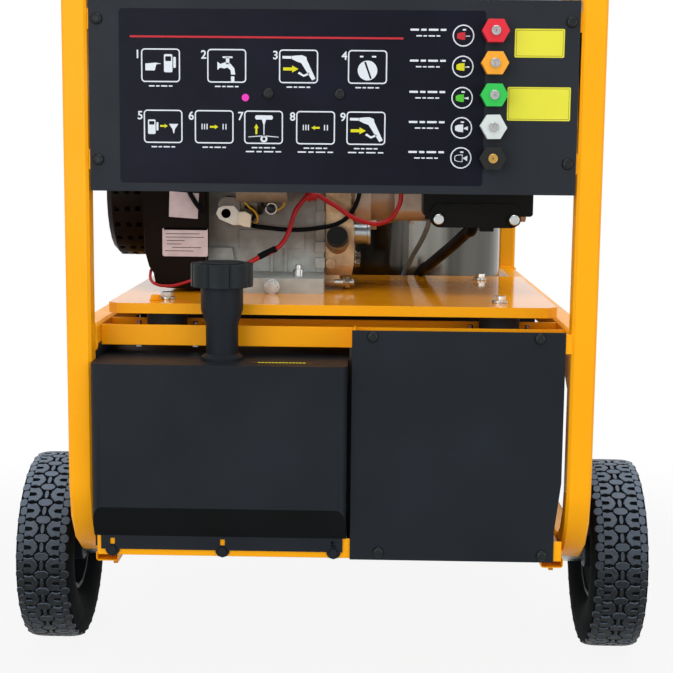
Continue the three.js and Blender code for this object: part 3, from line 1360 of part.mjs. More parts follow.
/** A spray nozzle: hexagonal guard, metal core and the tail that plugs into the panel. */
function nozzle(z, turn) {
  const [w, h] = [NOZZLE_WIDTH / 2, NOZZLE_HEIGHT / 2];
  const seat = PANEL_FRONT - GAP;
  const guard = polygon([
    [-w, 0],
    [-w * 0.55, -h],
    [w * 0.55, -h],
    [w, 0],
    [w * 0.55, h],
    [-w * 0.55, h],
  ]);
  const body = fuse(
    extrude(guard, 'y', seat - 22, seat - 8),
    rod('y', [0, 0, 0], 9, seat - 9, seat, 8),
    rod('y', [0, 0, 0], NOZZLE_TAIL, seat - 1, seat + 22, 8),
    rod('y', [0, 0, 0], 5.2, seat - 24, seat - 21, 8),
  );
  return body.rotate([0, turn, 0]).translate([NOZZLE_X, 0, z]);
}

const NOZZLES = [
  ['red', 0, finish(0xe12d41, 0.45)],
  ['yellow', 0, finish(0xf5aa3c, 0.45)],
  ['green', 0, finish(0x32c355, 0.45)],
  ['white', 60, finish(0xe1ebeb, 0.45)],
  ['black', 0, finish(0x1c1d1f, 0.5)],
];
NOZZLES.forEach(([colour, turn, material], i) => add(`nozzle_${colour}`, nozzle(nozzleHeights[i], turn), material));

// ---------------------------------------------------------------- hoses and cables

// The pump's pressure hose runs down behind the deck to the boiler's inlet elbow.
const pumpHosePath = [
  HOSE_START,
  [HOSE_START[0] - 0.5, HOSE_START[1] + 0.5, HOSE_START[2] - 8],
  [HOSE_START[0] - 5, HOSE_START[1] + 12, HOSE_START[2] - 17],
  [168, 322, CRANK_Z - 78],
  [149, 400, CRANK_Z - 100],
  [133, 468, CRANK_Z - 117],
  [ELBOW_X + 8, HOSE_END[1] - 8, CRANK_Z - 131],
  [ELBOW_X + 2, HOSE_END[1], CRANK_Z - 158],
  [ELBOW_X, HOSE_END[1], CRANK_Z - 183],
  HOSE_END,
];
add('pump_hose', cord(pumpHosePath, PUMP_HOSE_RADIUS, 16), MATERIALS.rubber);

// A thin hose runs beside it to the nipple below.
const fuelHosePath = [
  FUEL_START,
  [FUEL_START[0] - 1, FUEL_START[1] + 3, FUEL_START[2] - 9],
  [FUEL_START[0] - 3, FUEL_START[1] + 16, FUEL_START[2] - 18],
  [118, 330, CRANK_Z - 76],
  [112, 405, CRANK_Z - 101],
  [106, 470, CRANK_Z - 122],
  [NIPPLE_X + 4, FUEL_END[1] - 5, CRANK_Z - 135],
  [NIPPLE_X, FUEL_END[1], CRANK_Z - 156],
  FUEL_END,
];
add('fuel_hose', cord(fuelHosePath, FUEL_HOSE_RADIUS, 16), MATERIALS.grey);

// The red cable comes round the shroud's lower corner, crosses the engine and ends behind the panel.
const PANEL_BACK = PANEL_FRONT + PANEL_SHEET + HOSE_GAP / 2;
const redCablePath = [
  [SHROUD_LEFT + 2, 236, CRANK_Z - 80],
  [SHROUD_LEFT + 1, 224, CRANK_Z - 92],
  [SHROUD_LEFT + 4, 209, CRANK_Z - 103],
  [-250.5, 198, CRANK_Z - 111.5],
  [-244, 191, CRANK_Z - 119],
  [-233, 187.5, CRANK_Z - 123],
  [-212, 187, CRANK_Z - 122.5],
  [-194, 186.5, CRANK_Z - 117],
  [-172, 186, CRANK_Z - 111],
  [-147, 186, CRANK_Z - 104],
  [-120, 190, CRANK_Z - 94.5],
  [-100, 203, CRANK_Z - 84],
  [-81, 208, CRANK_Z - 75],
  [-68, 214, CRANK_Z - 61],
  [-50, 222, CRANK_Z - 16],
  [-31, 222, CRANK_Z - 2],
  [-8, 222, CRANK_Z - 12],
  [33, 222, CRANK_Z - 35.5],
  [66, 224, CRANK_Z - 37.5],
  [85, 225, CRANK_Z - 16],
  [88, 222, CRANK_Z + 8],
  [88, 205, CRANK_Z + 38],
  [88, 150, CRANK_Z + 67],
  [88, 80, CRANK_Z + 78],
  [88, 30, CRANK_Z + 79],
  [88, PANEL_BACK, CRANK_Z + 79],
];
add('red_cable', cord(redCablePath, RED_CABLE_RADIUS, 36), MATERIALS.red);

// The black cable runs from the crankcase's front behind the red one to the panel.
const blackCablePath = [
  [-116, CASE_FRONT - 4 - HOSE_GAP, CRANK_Z - 44],
  [-112, 231, CRANK_Z - 45],
  [-98, 228, CRANK_Z - 47],
  [-49, 229, CRANK_Z - 46],
  [-12, 232, CRANK_Z - 39],
  [14, 235, CRANK_Z - 28],
  [31, 236, CRANK_Z + 4],
  [33, 232, CRANK_Z + 34],
  [35, 200, CRANK_Z + 68],
  [36, 120, CRANK_Z + 86],
  [36, 30, CRANK_Z + 90],
  [36, PANEL_BACK, CRANK_Z + 90],
];
add('black_cable', cord(blackCablePath, BLACK_CABLE_RADIUS, 26), MATERIALS.rubber);

// ---------------------------------------------------------------- footprint

const footprint = new THREE.Box3().setFromObject(machine);
const middle = footprint.getCenter(new THREE.Vector3());
machine.position.set(-middle.x, -middle.y, -footprint.min.z);

export default machine;
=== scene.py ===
"""Hot-water pressure washer: finishes, small parts, light and camera over the fixed CAD frame."""

from __future__ import annotations

import logging
import math
from collections.abc import Callable, Sequence
from dataclasses import dataclass, field
from enum import Enum

import bmesh
import bpy
from mathutils import Matrix, Vector

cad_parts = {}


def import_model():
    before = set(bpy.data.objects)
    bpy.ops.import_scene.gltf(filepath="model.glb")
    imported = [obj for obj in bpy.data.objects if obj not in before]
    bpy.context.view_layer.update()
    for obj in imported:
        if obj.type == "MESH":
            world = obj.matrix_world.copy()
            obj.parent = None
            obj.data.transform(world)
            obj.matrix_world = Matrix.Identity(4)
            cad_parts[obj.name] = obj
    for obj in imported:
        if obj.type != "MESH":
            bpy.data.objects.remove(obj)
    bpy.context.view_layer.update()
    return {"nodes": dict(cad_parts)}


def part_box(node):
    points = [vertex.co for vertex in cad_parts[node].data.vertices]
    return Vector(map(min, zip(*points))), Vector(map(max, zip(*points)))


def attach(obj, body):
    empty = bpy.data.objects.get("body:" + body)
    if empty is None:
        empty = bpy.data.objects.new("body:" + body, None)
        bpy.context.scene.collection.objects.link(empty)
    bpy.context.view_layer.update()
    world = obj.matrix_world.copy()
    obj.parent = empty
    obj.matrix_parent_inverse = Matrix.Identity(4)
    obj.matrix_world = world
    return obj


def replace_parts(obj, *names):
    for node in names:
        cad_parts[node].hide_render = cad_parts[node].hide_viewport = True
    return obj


LOG = logging.getLogger("washer")
MM = 0.001

Point = tuple[float, float]
Place = tuple[float, float, float]
Setting = float | int | str | bool | tuple[float, ...]
Tree = bpy.types.NodeTree
Socket = bpy.types.NodeSocket

# Corners closer than this are one corner, and a radius below it lies on the axis.
TOUCHING_MM = 1e-4
WHITE = (1.0, 1.0, 1.0, 1.0)


class Plane(Enum):
    """Planes on which flat outlines are drawn, named for the axis square to them."""

    SIDE = "x"
    FRONT = "y"
    TOP = "z"

    def lift(self, u: float, v: float, along: float) -> Place:
        """Place a drawn point in space.

        Args:
            u: First coordinate on the plane.
            v: Second coordinate on the plane.
            along: Distance along the axis square to the plane.

        Returns:
            The point's X, Y and Z.
        """
        if self is Plane.SIDE:
            return (along, u, v)
        if self is Plane.FRONT:
            return (u, along, v)
        return (u, v, along)


def linear(code: str) -> tuple[float, float, float, float]:
    """Turn an sRGB hex colour into linear light.

    Args:
        code: The colour as six hex digits after a hash sign.

    Returns:
        Red, green, blue and full alpha.
    """
    values = [int(code[i : i + 2], 16) / 255 for i in (1, 3, 5)]
    r, g, b = (v / 12.92 if v <= 0.04045 else ((v + 0.055) / 1.055) ** 2.4 for v in values)
    return (r, g, b, 1.0)


def add_node(
    tree: Tree,
    kind: str,
    settings: dict[str | int, Setting] | None = None,
    links: dict[str | int, Socket] | None = None,
) -> bpy.types.Node:
    """Add a shader node with its settings and links.

    Args:
        tree: The tree that takes the node.
        kind: The node's Blender type.
        settings: Values for its inputs, by name or number, or for its own properties.
        links: Sockets that feed its inputs.

    Returns:
        The new node.
    """
    node = tree.nodes.new(kind)
    for key, value in (settings or {}).items():
        if isinstance(key, int) or key in node.inputs:
            node.inputs[key].default_value = value
        else:
            setattr(node, key, value)
    for key, socket in (links or {}).items():
        tree.links.new(socket, node.inputs[key])
    return node


def remap(tree: Tree, value: Socket, source: Point, target: Point) -> Socket:
    """Carry a value from one range to another, held within the second.

    Args:
        tree: The tree that takes the node.
        value: The value.
        source: The range that it is read in.
        target: The range that it is carried to.

    Returns:
        The new value.
    """
    limits = {"From Min": source[0], "From Max": source[1], "To Min": target[0], "To Max": target[1]}
    return add_node(tree, "ShaderNodeMapRange", limits, {"Value": value}).outputs["Result"]


def combine(tree: Tree, operation: str, first: Socket, second: Socket) -> Socket:
    """Join two values.

    Args:
        tree: The tree that takes the node.
        operation: How they are joined, such as ADD.
        first: One value.
        second: The other.

    Returns:
        The result.
    """
    links = {0: first, 1: second}
    return add_node(tree, "ShaderNodeMath", {"operation": operation}, links).outputs["Value"]


def overlay(tree: Tree, base: Socket, code: str, share: Socket) -> Socket:
    """Lay a colour over another.

    Args:
        tree: The tree that takes the node.
        base: The colour below.
        code: The colour on top, as for `linear`.
        share: How much of it shows.

    Returns:
        The mixed colour.
    """
    mix = add_node(tree, "ShaderNodeMixRGB", {"Color2": linear(code)}, {"Fac": share, "Color1": base})
    return mix.outputs["Color"]


def bare_tree(owner: bpy.types.Material | bpy.types.World) -> Tree:
    """Return the node tree of a material or world, emptied."""
    owner.use_nodes = True
    owner.node_tree.nodes.clear()
    return owner.node_tree


def add_object(name: str, data: bpy.types.ID) -> bpy.types.Object:
    """Put a mesh, curve, lamp or camera into the scene and return its object."""
    made = bpy.data.objects.new(name, data)
    bpy.context.scene.collection.objects.link(made)
    return made


# ---------------------------------------------------------------- finishes


@dataclass(frozen=True)
class Finish:
    """A surface as its process leaves it: broad patches of tone over a fine grain.

    Pattern sizes are in millimetres. Where the real grain is finer than the eye can part at this
    distance, it is drawn coarser so that it still breaks up the highlights.
    """

    name: str
    colour: str
    roughness: float
    metallic: float = 0.0
    specular: float = 0.14
    patch_mm: float = 90.0
    patch_colour: str = "#000000"
    patch_strength: float = 0.08
    roughness_spread: float = 0.06
    grain_mm: float = 1.5
    grain_depth_mm: float = 0.02
    stretch: Place = (1.0, 1.0, 1.0)

    def coordinates(self, tree: Tree) -> Socket:
        """Return object coordinates, stretched along the way the surface was worked."""
        origin = add_node(tree, "ShaderNodeTexCoord")
        links = {"Vector": origin.outputs["Object"]}
        return add_node(tree, "ShaderNodeMapping", {"Scale": self.stretch}, links).outputs["Vector"]

    def noise(
        self, tree: Tree, where: Socket, size_mm: float, detail: float
    ) -> Socket:
        """Add a noise of a real size.

        Args:
            tree: The material's tree.
            where: The coordinates that it reads.
            size_mm: The size of one blob.
            detail: How many finer octaves lie on top.

        Returns:
            The noise's value.
        """
        settings = {"Scale": 1 / (size_mm * MM), "Detail": detail, "Roughness": 0.55}
        return add_node(tree, "ShaderNodeTexNoise", settings, {"Vector": where}).outputs["Fac"]

    def tone(self, tree: Tree, where: Socket) -> Socket:
        """Return the colour with its broad patches."""
        patches = self.noise(tree, where, self.patch_mm, 3.0)
        spread = remap(tree, patches, (0.35, 0.7), (0.0, self.patch_strength))
        mix = add_node(
            tree,
            "ShaderNodeMixRGB",
            {"Color1": linear(self.colour), "Color2": linear(self.patch_colour)},
            {"Fac": spread},
        )
        return mix.outputs["Color"]

    def relief(self, tree: Tree, where: Socket) -> Socket:
        """Return the height of the grain, from 0 to 1."""
        return self.noise(tree, where, self.grain_mm, 2.0)

    def build(self) -> bpy.types.Material:
        """Make the material, or return the one made before."""
        title = f"finish_{self.name}"
        made = bpy.data.materials.get(title)
        if made:
            return made
        material = bpy.data.materials.new(title)
        tree = bare_tree(material)
        where = self.coordinates(tree)
        smoothest = max(0.02, self.roughness - self.roughness_spread)
        roughest = min(1.0, self.roughness + self.roughness_spread)
        wear = self.noise(tree, where, self.patch_mm * 0.6, 4.0)
        gloss = remap(tree, wear, (0.3, 0.7), (smoothest, roughest))
        bump = add_node(
            tree,
            "ShaderNodeBump",
            {"Strength": 1.0, "Distance": self.grain_depth_mm * MM},
            {"Height": self.relief(tree, where)},
        )
        shader = add_node(
            tree,
            "ShaderNodeBsdfPrincipled",
            {
                "Metallic": self.metallic,
                "Specular IOR Level": self.specular if self.metallic < 0.2 else 0.5,
            },
            {
                "Base Color": self.tone(tree, where),
                "Roughness": gloss,
                "Normal": bump.outputs["Normal"],
            },
        )
        add_node(tree, "ShaderNodeOutputMaterial", None, {"Surface": shader.outputs["BSDF"]})
        return material


@dataclass(frozen=True)
class CastFinish(Finish):
    """A sand or die casting: pits and pebbles over the broad waves of the mould."""

    pebble_mm: float = 2.2

    def relief(self, tree: Tree, where: Socket) -> Socket:
        """Return pebbles mixed with the fine grain."""
        scale = {"Scale": 1 / (self.pebble_mm * MM)}
        cells = add_node(tree, "ShaderNodeTexVoronoi", scale, {"Vector": where})
        grain = self.noise(tree, where, self.grain_mm, 3.0)
        return combine(tree, "ADD", cells.outputs["Distance"], grain)


@dataclass(frozen=True)
class GrimyFinish(CastFinish):
    """A casting whose upper part goes brown above its pale foot: part dirt, part painted shade, deepening
    with height.
    """

    grime: str = "#4E3C2C"
    grime_from_mm: float = 528.0
    grime_to_mm: float = 566.0
    grime_strength: float = 0.72
    ragged_m: float = 0.03

    def tone(self, tree: Tree, where: Socket) -> Socket:
        """Return the colour under brown dirt and painted shade that thicken with height."""
        base = super().tone(tree, where)
        parts = add_node(tree, "ShaderNodeSeparateXYZ", None, {0: where})
        ragged = add_node(
            tree,
            "ShaderNodeMath",
            {"operation": "MULTIPLY_ADD", 1: self.ragged_m},
            {0: self.noise(tree, where, 25.0, 4.0), 2: parts.outputs["Z"]},
        )
        heights = tuple(mm * MM + self.ragged_m / 2 for mm in (self.grime_from_mm, self.grime_to_mm))
        # Painted shade mixed with dirt: the brown deepens from the foot upwards, where the panel shades the
        # casting.
        film = remap(tree, ragged.outputs["Value"], heights, (0.0, self.grime_strength))
        return overlay(tree, base, self.grime, film)


@dataclass(frozen=True)
class DustyFinish(Finish):
    """Rubber or plastic that has rolled on a floor: pale, dusty scuffed streaks, with painted light from
    above in the same colour on faces that look up where asked for.
    """

    dust: str = "#8C8C86"
    dust_strength: float = 0.25
    dust_mm: float = 9.0
    settled: float = 0.0

    def tone(self, tree: Tree, where: Socket) -> Socket:
        """Return the colour under a broken dusty film and any painted top light."""
        base = super().tone(tree, where)
        scuffs = self.noise(tree, where, self.dust_mm, 6.0)
        share = remap(tree, scuffs, (0.5, 0.75), (0.0, self.dust_strength))
        # Painted light: faces that look up are lightened in the dust colour, standing for light from above.
        if self.settled > 0:
            way = add_node(tree, "ShaderNodeNewGeometry")
            up = add_node(tree, "ShaderNodeSeparateXYZ", None, {0: way.outputs["Normal"]})
            top_light_share = remap(tree, up.outputs["Z"], (0.0, 0.9), (0.0, self.settled))
            share = combine(tree, "ADD", share, top_light_share)
        return overlay(tree, base, self.dust, share)


def ink(name: str, colour: str, roughness: float = 0.45) -> Finish:
    """Describe a thin even layer of print or paint."""
    return Finish(name, colour, roughness, patch_strength=0.05, grain_depth_mm=0.004)


def nozzle_nylon(colour_name: str, colour: str) -> Finish:
    """Describe the glossy nylon of a coloured nozzle guard."""
    return Finish(
        f"{colour_name}_nozzle_nylon", colour, 0.4, patch_strength=0.06, grain_mm=1.0, specular=0.25
    )


# Powder coat on steel tube: glossy, with the faint orange peel that makes highlights swim.
FRAME_COAT = Finish(
    "orange_powder_coat", "#FCAB10", 0.3, patch_colour="#F09A08", patch_strength=0.25, grain_mm=3.5,
    grain_depth_mm=0.03, specular=0.12, patch_mm=160,
)
# The same coat on the wide deck plate, where it flowed out: deep gloss that mirrors what stands on it.
DECK_COAT = Finish(
    "flowed_orange_powder_coat", "#F8A010", 0.1, patch_colour="#E88E06", patch_strength=0.25, grain_mm=12,
    grain_depth_mm=0.003, specular=0.42, patch_mm=140, roughness_spread=0.02,
)
# Satin powder coat on sheet steel: blue-black, dull sheen with soft clouds.
BLACK_COAT = Finish(
    "satin_black_powder_coat", "#1E2329", 0.46, patch_colour="#14181C", patch_strength=0.6,
    grain_mm=2.2, grain_depth_mm=0.03, patch_mm=120, specular=0.11,
)
# The same coat as painted shade on faces that look down: darker and nearly without sheen.
SHADED_UNDERSIDE_COAT = Finish(
    "black_powder_coat_painted_shade", "#131617", 0.6, patch_colour="#0E0F0F", patch_strength=0.6,
    grain_mm=2.2, grain_depth_mm=0.03, patch_mm=120, specular=0.04,
)
PANEL_COAT = Finish(
    "satin_panel_powder_coat", "#24282E", 0.5, patch_colour="#1C2025", patch_strength=0.5,
    grain_mm=2.0, grain_depth_mm=0.025,
)
# Black stoved enamel on the fan shroud and recoil cover: deep brown-black under a film of soot.
STOVED_ENAMEL = Finish(
    "stoved_black_enamel", "#110B08", 0.4, patch_colour="#1C100A", patch_strength=0.5, grain_mm=4.0,
    patch_mm=60, specular=0.04,
)
# Laser-printed polyester film: dark navy, smooth and slightly glossy.
NAVY_FILM = Finish(
    "navy_polyester_film", "#0E0F1A", 0.34, patch_colour="#15182A", patch_strength=0.5, grain_mm=30,
    grain_depth_mm=0.02, patch_mm=70, specular=0.09,
)
WHITE_INK = Finish("white_screen_ink", "#D8DEE6", 0.5, patch_strength=0.03, grain_depth_mm=0.004)
RED_INK = ink("red_screen_ink", "#C02E38")
YELLOW_INK = ink("yellow_screen_ink", "#D4D020")
GREEN_INK = ink("green_screen_ink", "#54C038")
MAGENTA_INK = ink("magenta_paint_dot", "#E63CB4", 0.4)
DARK_INK = ink("dark_screen_ink", "#3A3A20", 0.5)
# Vinyl label stock: saturated yellow with a soft sheen.
YELLOW_VINYL = Finish(
    "yellow_vinyl_label", "#E0DC42", 0.38, patch_colour="#CFCB3A", patch_strength=0.35, grain_mm=12,
)
PALE_VINYL = Finish(
    "silver_vinyl_label", "#CDBFC4", 0.35, patch_colour="#A99AA0", patch_strength=0.4, grain_mm=10,
    patch_mm=14,
)
# Pneumatic tyre rubber on the carcass: nearly black and dull, so that the grooves stay dark.
TYRE_RUBBER = DustyFinish(
    "tyre_rubber", "#141719", 0.7, patch_colour="#0E1011", patch_strength=0.4, grain_mm=2.0, specular=0.01,
    grain_depth_mm=0.03, patch_mm=40, dust="#3A4046", dust_strength=0.06,
)
# The same rubber on the tread blocks, with painted light: a bluish grey tint on the faces that look up stands
# for the light from above that grazes them, over a thin dusty film.
TREAD_RUBBER = DustyFinish(
    "tread_rubber", "#15191C", 0.44, patch_colour="#0F1214", patch_strength=0.5, grain_mm=2.0, specular=0.2,
    grain_depth_mm=0.03, patch_mm=40, dust="#7C8CA0", dust_strength=0.08, settled=0.6,
)
CASTER_RUBBER = DustyFinish("caster_rubber", "#232627", 0.7, grain_depth_mm=0.05, dust_strength=0.15)
# Neoprene buffer and hose rubber: near black, soft sheen.
NEOPRENE = Finish("neoprene_rubber", "#2A2C2D", 0.62, grain_mm=1.4, grain_depth_mm=0.04)
HOSE_RUBBER = Finish("hose_rubber", "#0B0D10", 0.46, grain_mm=2.0, grain_depth_mm=0.03, specular=0.05)
GREY_HOSE = Finish("nitrile_hose", "#62788A", 0.4, grain_mm=2.0, grain_depth_mm=0.03)
# Injection-moulded nylon: charcoal with a fine spark-eroded grain.
MOULDED_NYLON = Finish(
    "moulded_nylon", "#191F22", 0.44, patch_colour="#22292C", patch_strength=0.35, grain_mm=1.0,
    grain_depth_mm=0.04, patch_mm=30, specular=0.14,
)
BLACK_MOULDING = Finish("moulded_abs", "#0E0F10", 0.36, grain_mm=1.2, grain_depth_mm=0.03, specular=0.3)
CREAM_NYLON = Finish("cream_nylon", "#E6E1CE", 0.45, patch_colour="#C4B998", patch_strength=0.3, patch_mm=8)
# Die-cast aluminium in silver-beige paint: dull metal, pale at the foot, brown higher up, the brown part dirt
# and part painted shade under the panel.
CASE_ALUMINIUM = GrimyFinish(
    "painted_case_aluminium", "#AEB5B2", 0.46, metallic=0.3, patch_colour="#77746A", patch_strength=0.5,
    grain_mm=3.0, grain_depth_mm=0.12, patch_mm=30, roughness_spread=0.12,
)
# The drive-side casting, in a warm bronze tone with dark brown patches.
WARM_CAST_ALUMINIUM = CastFinish(
    "warm_toned_aluminium", "#B89C78", 0.42, metallic=0.6, patch_colour="#5E4028", patch_strength=0.75,
    grain_mm=3.0, grain_depth_mm=0.12, patch_mm=32, roughness_spread=0.12,
)
CAST_ALUMINIUM = CastFinish(
    "cast_aluminium", "#A8998A", 0.46, metallic=0.55, patch_colour="#7C6856", patch_strength=0.4,
    grain_mm=3.0, grain_depth_mm=0.12, patch_mm=45, roughness_spread=0.12,
)
PALE_CASTING = CastFinish(
    "bright_cast_aluminium", "#C8C0B6", 0.4, metallic=0.6, patch_colour="#9A8C7C", patch_strength=0.4,
    grain_mm=2.6, grain_depth_mm=0.09, patch_mm=30,
)
BLACK_CASTING = CastFinish(
    "black_painted_casting", "#0B0B0A", 0.4, grain_mm=2.4, grain_depth_mm=0.07, specular=0.1
)
OLIVE_STEEL = Finish("olive_painted_steel", "#625C4E", 0.45, metallic=0.3, patch_strength=0.3, patch_mm=14)
STARTER_CASTING = CastFinish(
    "painted_starter_casting", "#8C877B", 0.5, metallic=0.3, patch_colour="#5C5448", patch_strength=0.5,
    grain_mm=3.0, grain_depth_mm=0.1, patch_mm=25,
)
# Zinc-plated steel: bright and slightly mottled by the passivation.
ZINC_PLATE = Finish(
    "zinc_plate", "#C6C9C8", 0.24, metallic=1.0, patch_colour="#8F9288", patch_strength=0.3,
    patch_mm=12, roughness_spread=0.06, grain_mm=3.0, grain_depth_mm=0.0015,
)
BLACK_OXIDE = Finish("black_oxide_screw", "#1A1D20", 0.36, metallic=0.6, patch_mm=5, patch_strength=0.3)
# Bright-annealed stainless sheet rolled into a drum: a mirror with a slow vertical waviness, its colour
# darkened and streaked with near-black vertical bands as painted reflections of the dark parts round it.
STAINLESS_WITH_PAINTED_REFLECTIONS = Finish(
    "stainless_sheet_with_painted_reflections", "#605F5A", 0.16, metallic=1.0, patch_colour="#161412",
    patch_strength=0.9, patch_mm=75, roughness_spread=0.05, grain_mm=55, grain_depth_mm=0.9,
    stretch=(1.0, 1.0, 0.08),
)
# Painted shade for the bottoms of blind slots and holes: a near-black that swallows nearly all light. It also
# prints the dark strip on a shroud label.
SHADE_AND_INK_BLACK = Finish("shade_and_ink_black", "#050403", 0.95, specular=0.02, patch_strength=0.0, grain_depth_mm=0.002)
BLUED_STEEL = Finish(
    "ground_steel", "#A9B2B8", 0.34, metallic=1.0, patch_colour="#6E7478", patch_strength=0.4, patch_mm=14,
)
BRASS = Finish(
    "turned_brass", "#C9A45C", 0.3, metallic=1.0, patch_colour="#8A6A34", patch_strength=0.4, patch_mm=7,
)
NICKEL = Finish("turned_stainless", "#B9BABB", 0.26, metallic=1.0, patch_strength=0.2, patch_mm=5)
RED_INSULATION = Finish("red_pvc_insulation", "#A8101C", 0.38, patch_strength=0.15, grain_mm=3, specular=0.3)
YELLOW_INSULATION = Finish("yellow_pvc_insulation", "#C89A1C", 0.4, patch_strength=0.1, grain_mm=3)
RED_NYLON = nozzle_nylon("red", "#DC2838")
AMBER_NYLON = nozzle_nylon("amber", "#F2A42C")
GREEN_NYLON = nozzle_nylon("green", "#2EBE50")
WHITE_NYLON = Finish("white_nozzle_nylon", "#CFD8D6", 0.4, patch_strength=0.05, grain_mm=1.0)


# ---------------------------------------------------------------- outlines


def rounded_box(u0: float, u1: float, v0: float, v1: float, radius: float, steps: int = 4) -> list[Point]:
    """Draw a rectangle with round corners.

    Args:
        u0: Left side.
        u1: Right side.
        v0: Lower side.
        v1: Upper side.
        radius: Corner radius.
        steps: Chords in each corner.

    Returns:
        The outline's points, anticlockwise.
    """
    left, right, low, high = u0 + radius, u1 - radius, v0 + radius, v1 - radius
    centres = [(right, high), (left, high), (left, low), (right, low)]
    points = []
    for quarter, (cu, cv) in enumerate(centres):
        for step in range(steps + 1):
            angle = math.pi / 2 * (quarter + step / steps)
            points.append((cu + radius * math.cos(angle), cv + radius * math.sin(angle)))
    return points


def circle(u: float, v: float, radius: float, steps: int = 24, start: float = 0.0) -> list[Point]:
    """Draw a circle or regular polygon.

    Args:
        u: Centre.
        v: Centre.
        radius: Distance to the corners.
        steps: Number of corners.
        start: Angle of the first corner in degrees.

    Returns:
        The outline's points, anticlockwise.
    """
    base = math.radians(start)
    turns = [base + 2 * math.pi * i / steps for i in range(steps)]
    return [(u + radius * math.cos(a), v + radius * math.sin(a)) for a in turns]


def arrow(u: float, v: float, length: float, height: float, degrees: float = 0.0) -> list[Point]:
    """Draw a block arrow.

    Args:
        u: Middle of the arrow.
        v: Middle of the arrow.
        length: Its length.
        height: Its head's height.
        degrees: The way that it points, 0 to the right.

    Returns:
        The outline's points.
    """
    half, stem, neck = length / 2, height * 0.22, length * 0.08
    lower = [(-half, -stem), (neck, -stem), (neck, -height / 2)]
    raw = [*lower, (half, 0), *((a, -b) for a, b in reversed(lower))]
    c, s = math.cos(math.radians(degrees)), math.sin(math.radians(degrees))
    return [(u + c * a - s * b, v + s * a + c * b) for a, b in raw]


# ---------------------------------------------------------------- bench


@dataclass
class Shape:
    """A mesh under construction, in millimetres from the front faces of the frame's uprights."""

    bench: Bench
    name: str
    bm: bmesh.types.BMesh = field(default_factory=bmesh.new)

    def prism(self, plane: Plane, outline: Sequence[Point], low: float, high: float) -> Shape:
        """Add a flat outline carried along the axis square to it.

        Args:
            plane: The plane that it is drawn on.
            outline: Its points.
            low: Where it starts along the axis.
            high: Where it ends.

        Returns:
            This shape.
        """
        ends = [[self.bm.verts.new(plane.lift(u, v, along)) for u, v in outline] for along in (low, high)]
        self.bm.faces.new(ends[0])
        self.bm.faces.new(ends[1])
        count = len(outline)
        for i in range(count):
            j = (i + 1) % count
            self.bm.faces.new((ends[0][i], ends[0][j], ends[1][j], ends[1][i]))
        return self

    def band(
        self, plane: Plane, outer: Sequence[Point], inner: Sequence[Point], low: float, high: float
    ) -> Shape:
        """Add a closed band between two outlines with the same number of points.

        Args:
            plane: The plane that they are drawn on.
            outer: The outer outline.
            inner: The inner outline.
            low: Where the band starts along the axis.
            high: Where it ends.

        Returns:
            This shape.
        """
        rings = [
            [self.bm.verts.new(plane.lift(u, v, along)) for u, v in outline]
            for outline in (outer, inner)
            for along in (low, high)
        ]
        count = len(outer)
        for i in range(count):
            j = (i + 1) % count
            for a, b in ((0, 1), (1, 3), (3, 2), (2, 0)):
                self.bm.faces.new((rings[a][i], rings[a][j], rings[b][j], rings[b][i]))
        return self

    def turned(self, axis: Plane, centre: Place, profile: Sequence[Point], steps: int = 32) -> Shape:
        """Add a turned body.

        Args:
            axis: The axis that it turns about.
            centre: A point on the axis.
            profile: Radius and distance along the axis, from one end to the other.
            steps: Number of facets.

        Returns:
            This shape.
        """
        rings = []
        for radius, along in profile:
            if radius < TOUCHING_MM:
                spot = axis.lift(0, 0, along)
                rings.append([self.bm.verts.new([a + b for a, b in zip(centre, spot)])])
                continue
            ring = []
            for u, v in circle(0, 0, radius, steps):
                spot = axis.lift(u, v, along)
                ring.append(self.bm.verts.new([a + b for a, b in zip(centre, spot)]))
            rings.append(ring)
        for before, after in zip(rings, rings[1:]):
            for i in range(steps):
                j = (i + 1) % steps
                around = ((before, i), (before, j), (after, j), (after, i))
                corners = [ring[k % len(ring)] for ring, k in around]
                self.bm.faces.new(list(dict.fromkeys(corners)))
        for ring in (rings[0], rings[-1]):
            if len(ring) > 1:
                self.bm.faces.new(ring)
        return self

    def finish(
        self, finish: Finish, body: str, bevel_mm: float = 0.0, smooth: bool = True
    ) -> bpy.types.Object:
        """Close the shape as a piece that rides on a body.

        Args:
            finish: Its surface.
            body: The CAD body that it moves with.
            bevel_mm: Width of its rounded edges.
            smooth: Whether its faces are shaded smooth.

        Returns:
            The piece.
        """
        bmesh.ops.remove_doubles(self.bm, verts=self.bm.verts, dist=TOUCHING_MM)
        bmesh.ops.recalc_face_normals(self.bm, faces=self.bm.faces)
        bmesh.ops.transform(self.bm, matrix=self.bench.to_row, verts=self.bm.verts)
        mesh = bpy.data.meshes.new(self.name)
        self.bm.to_mesh(mesh)
        self.bm.free()
        piece = add_object(self.name, mesh)
        mesh.materials.append(finish.build())
        if smooth:
            self.bench.soften(piece, bevel_mm)
        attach(piece, body)
        return piece


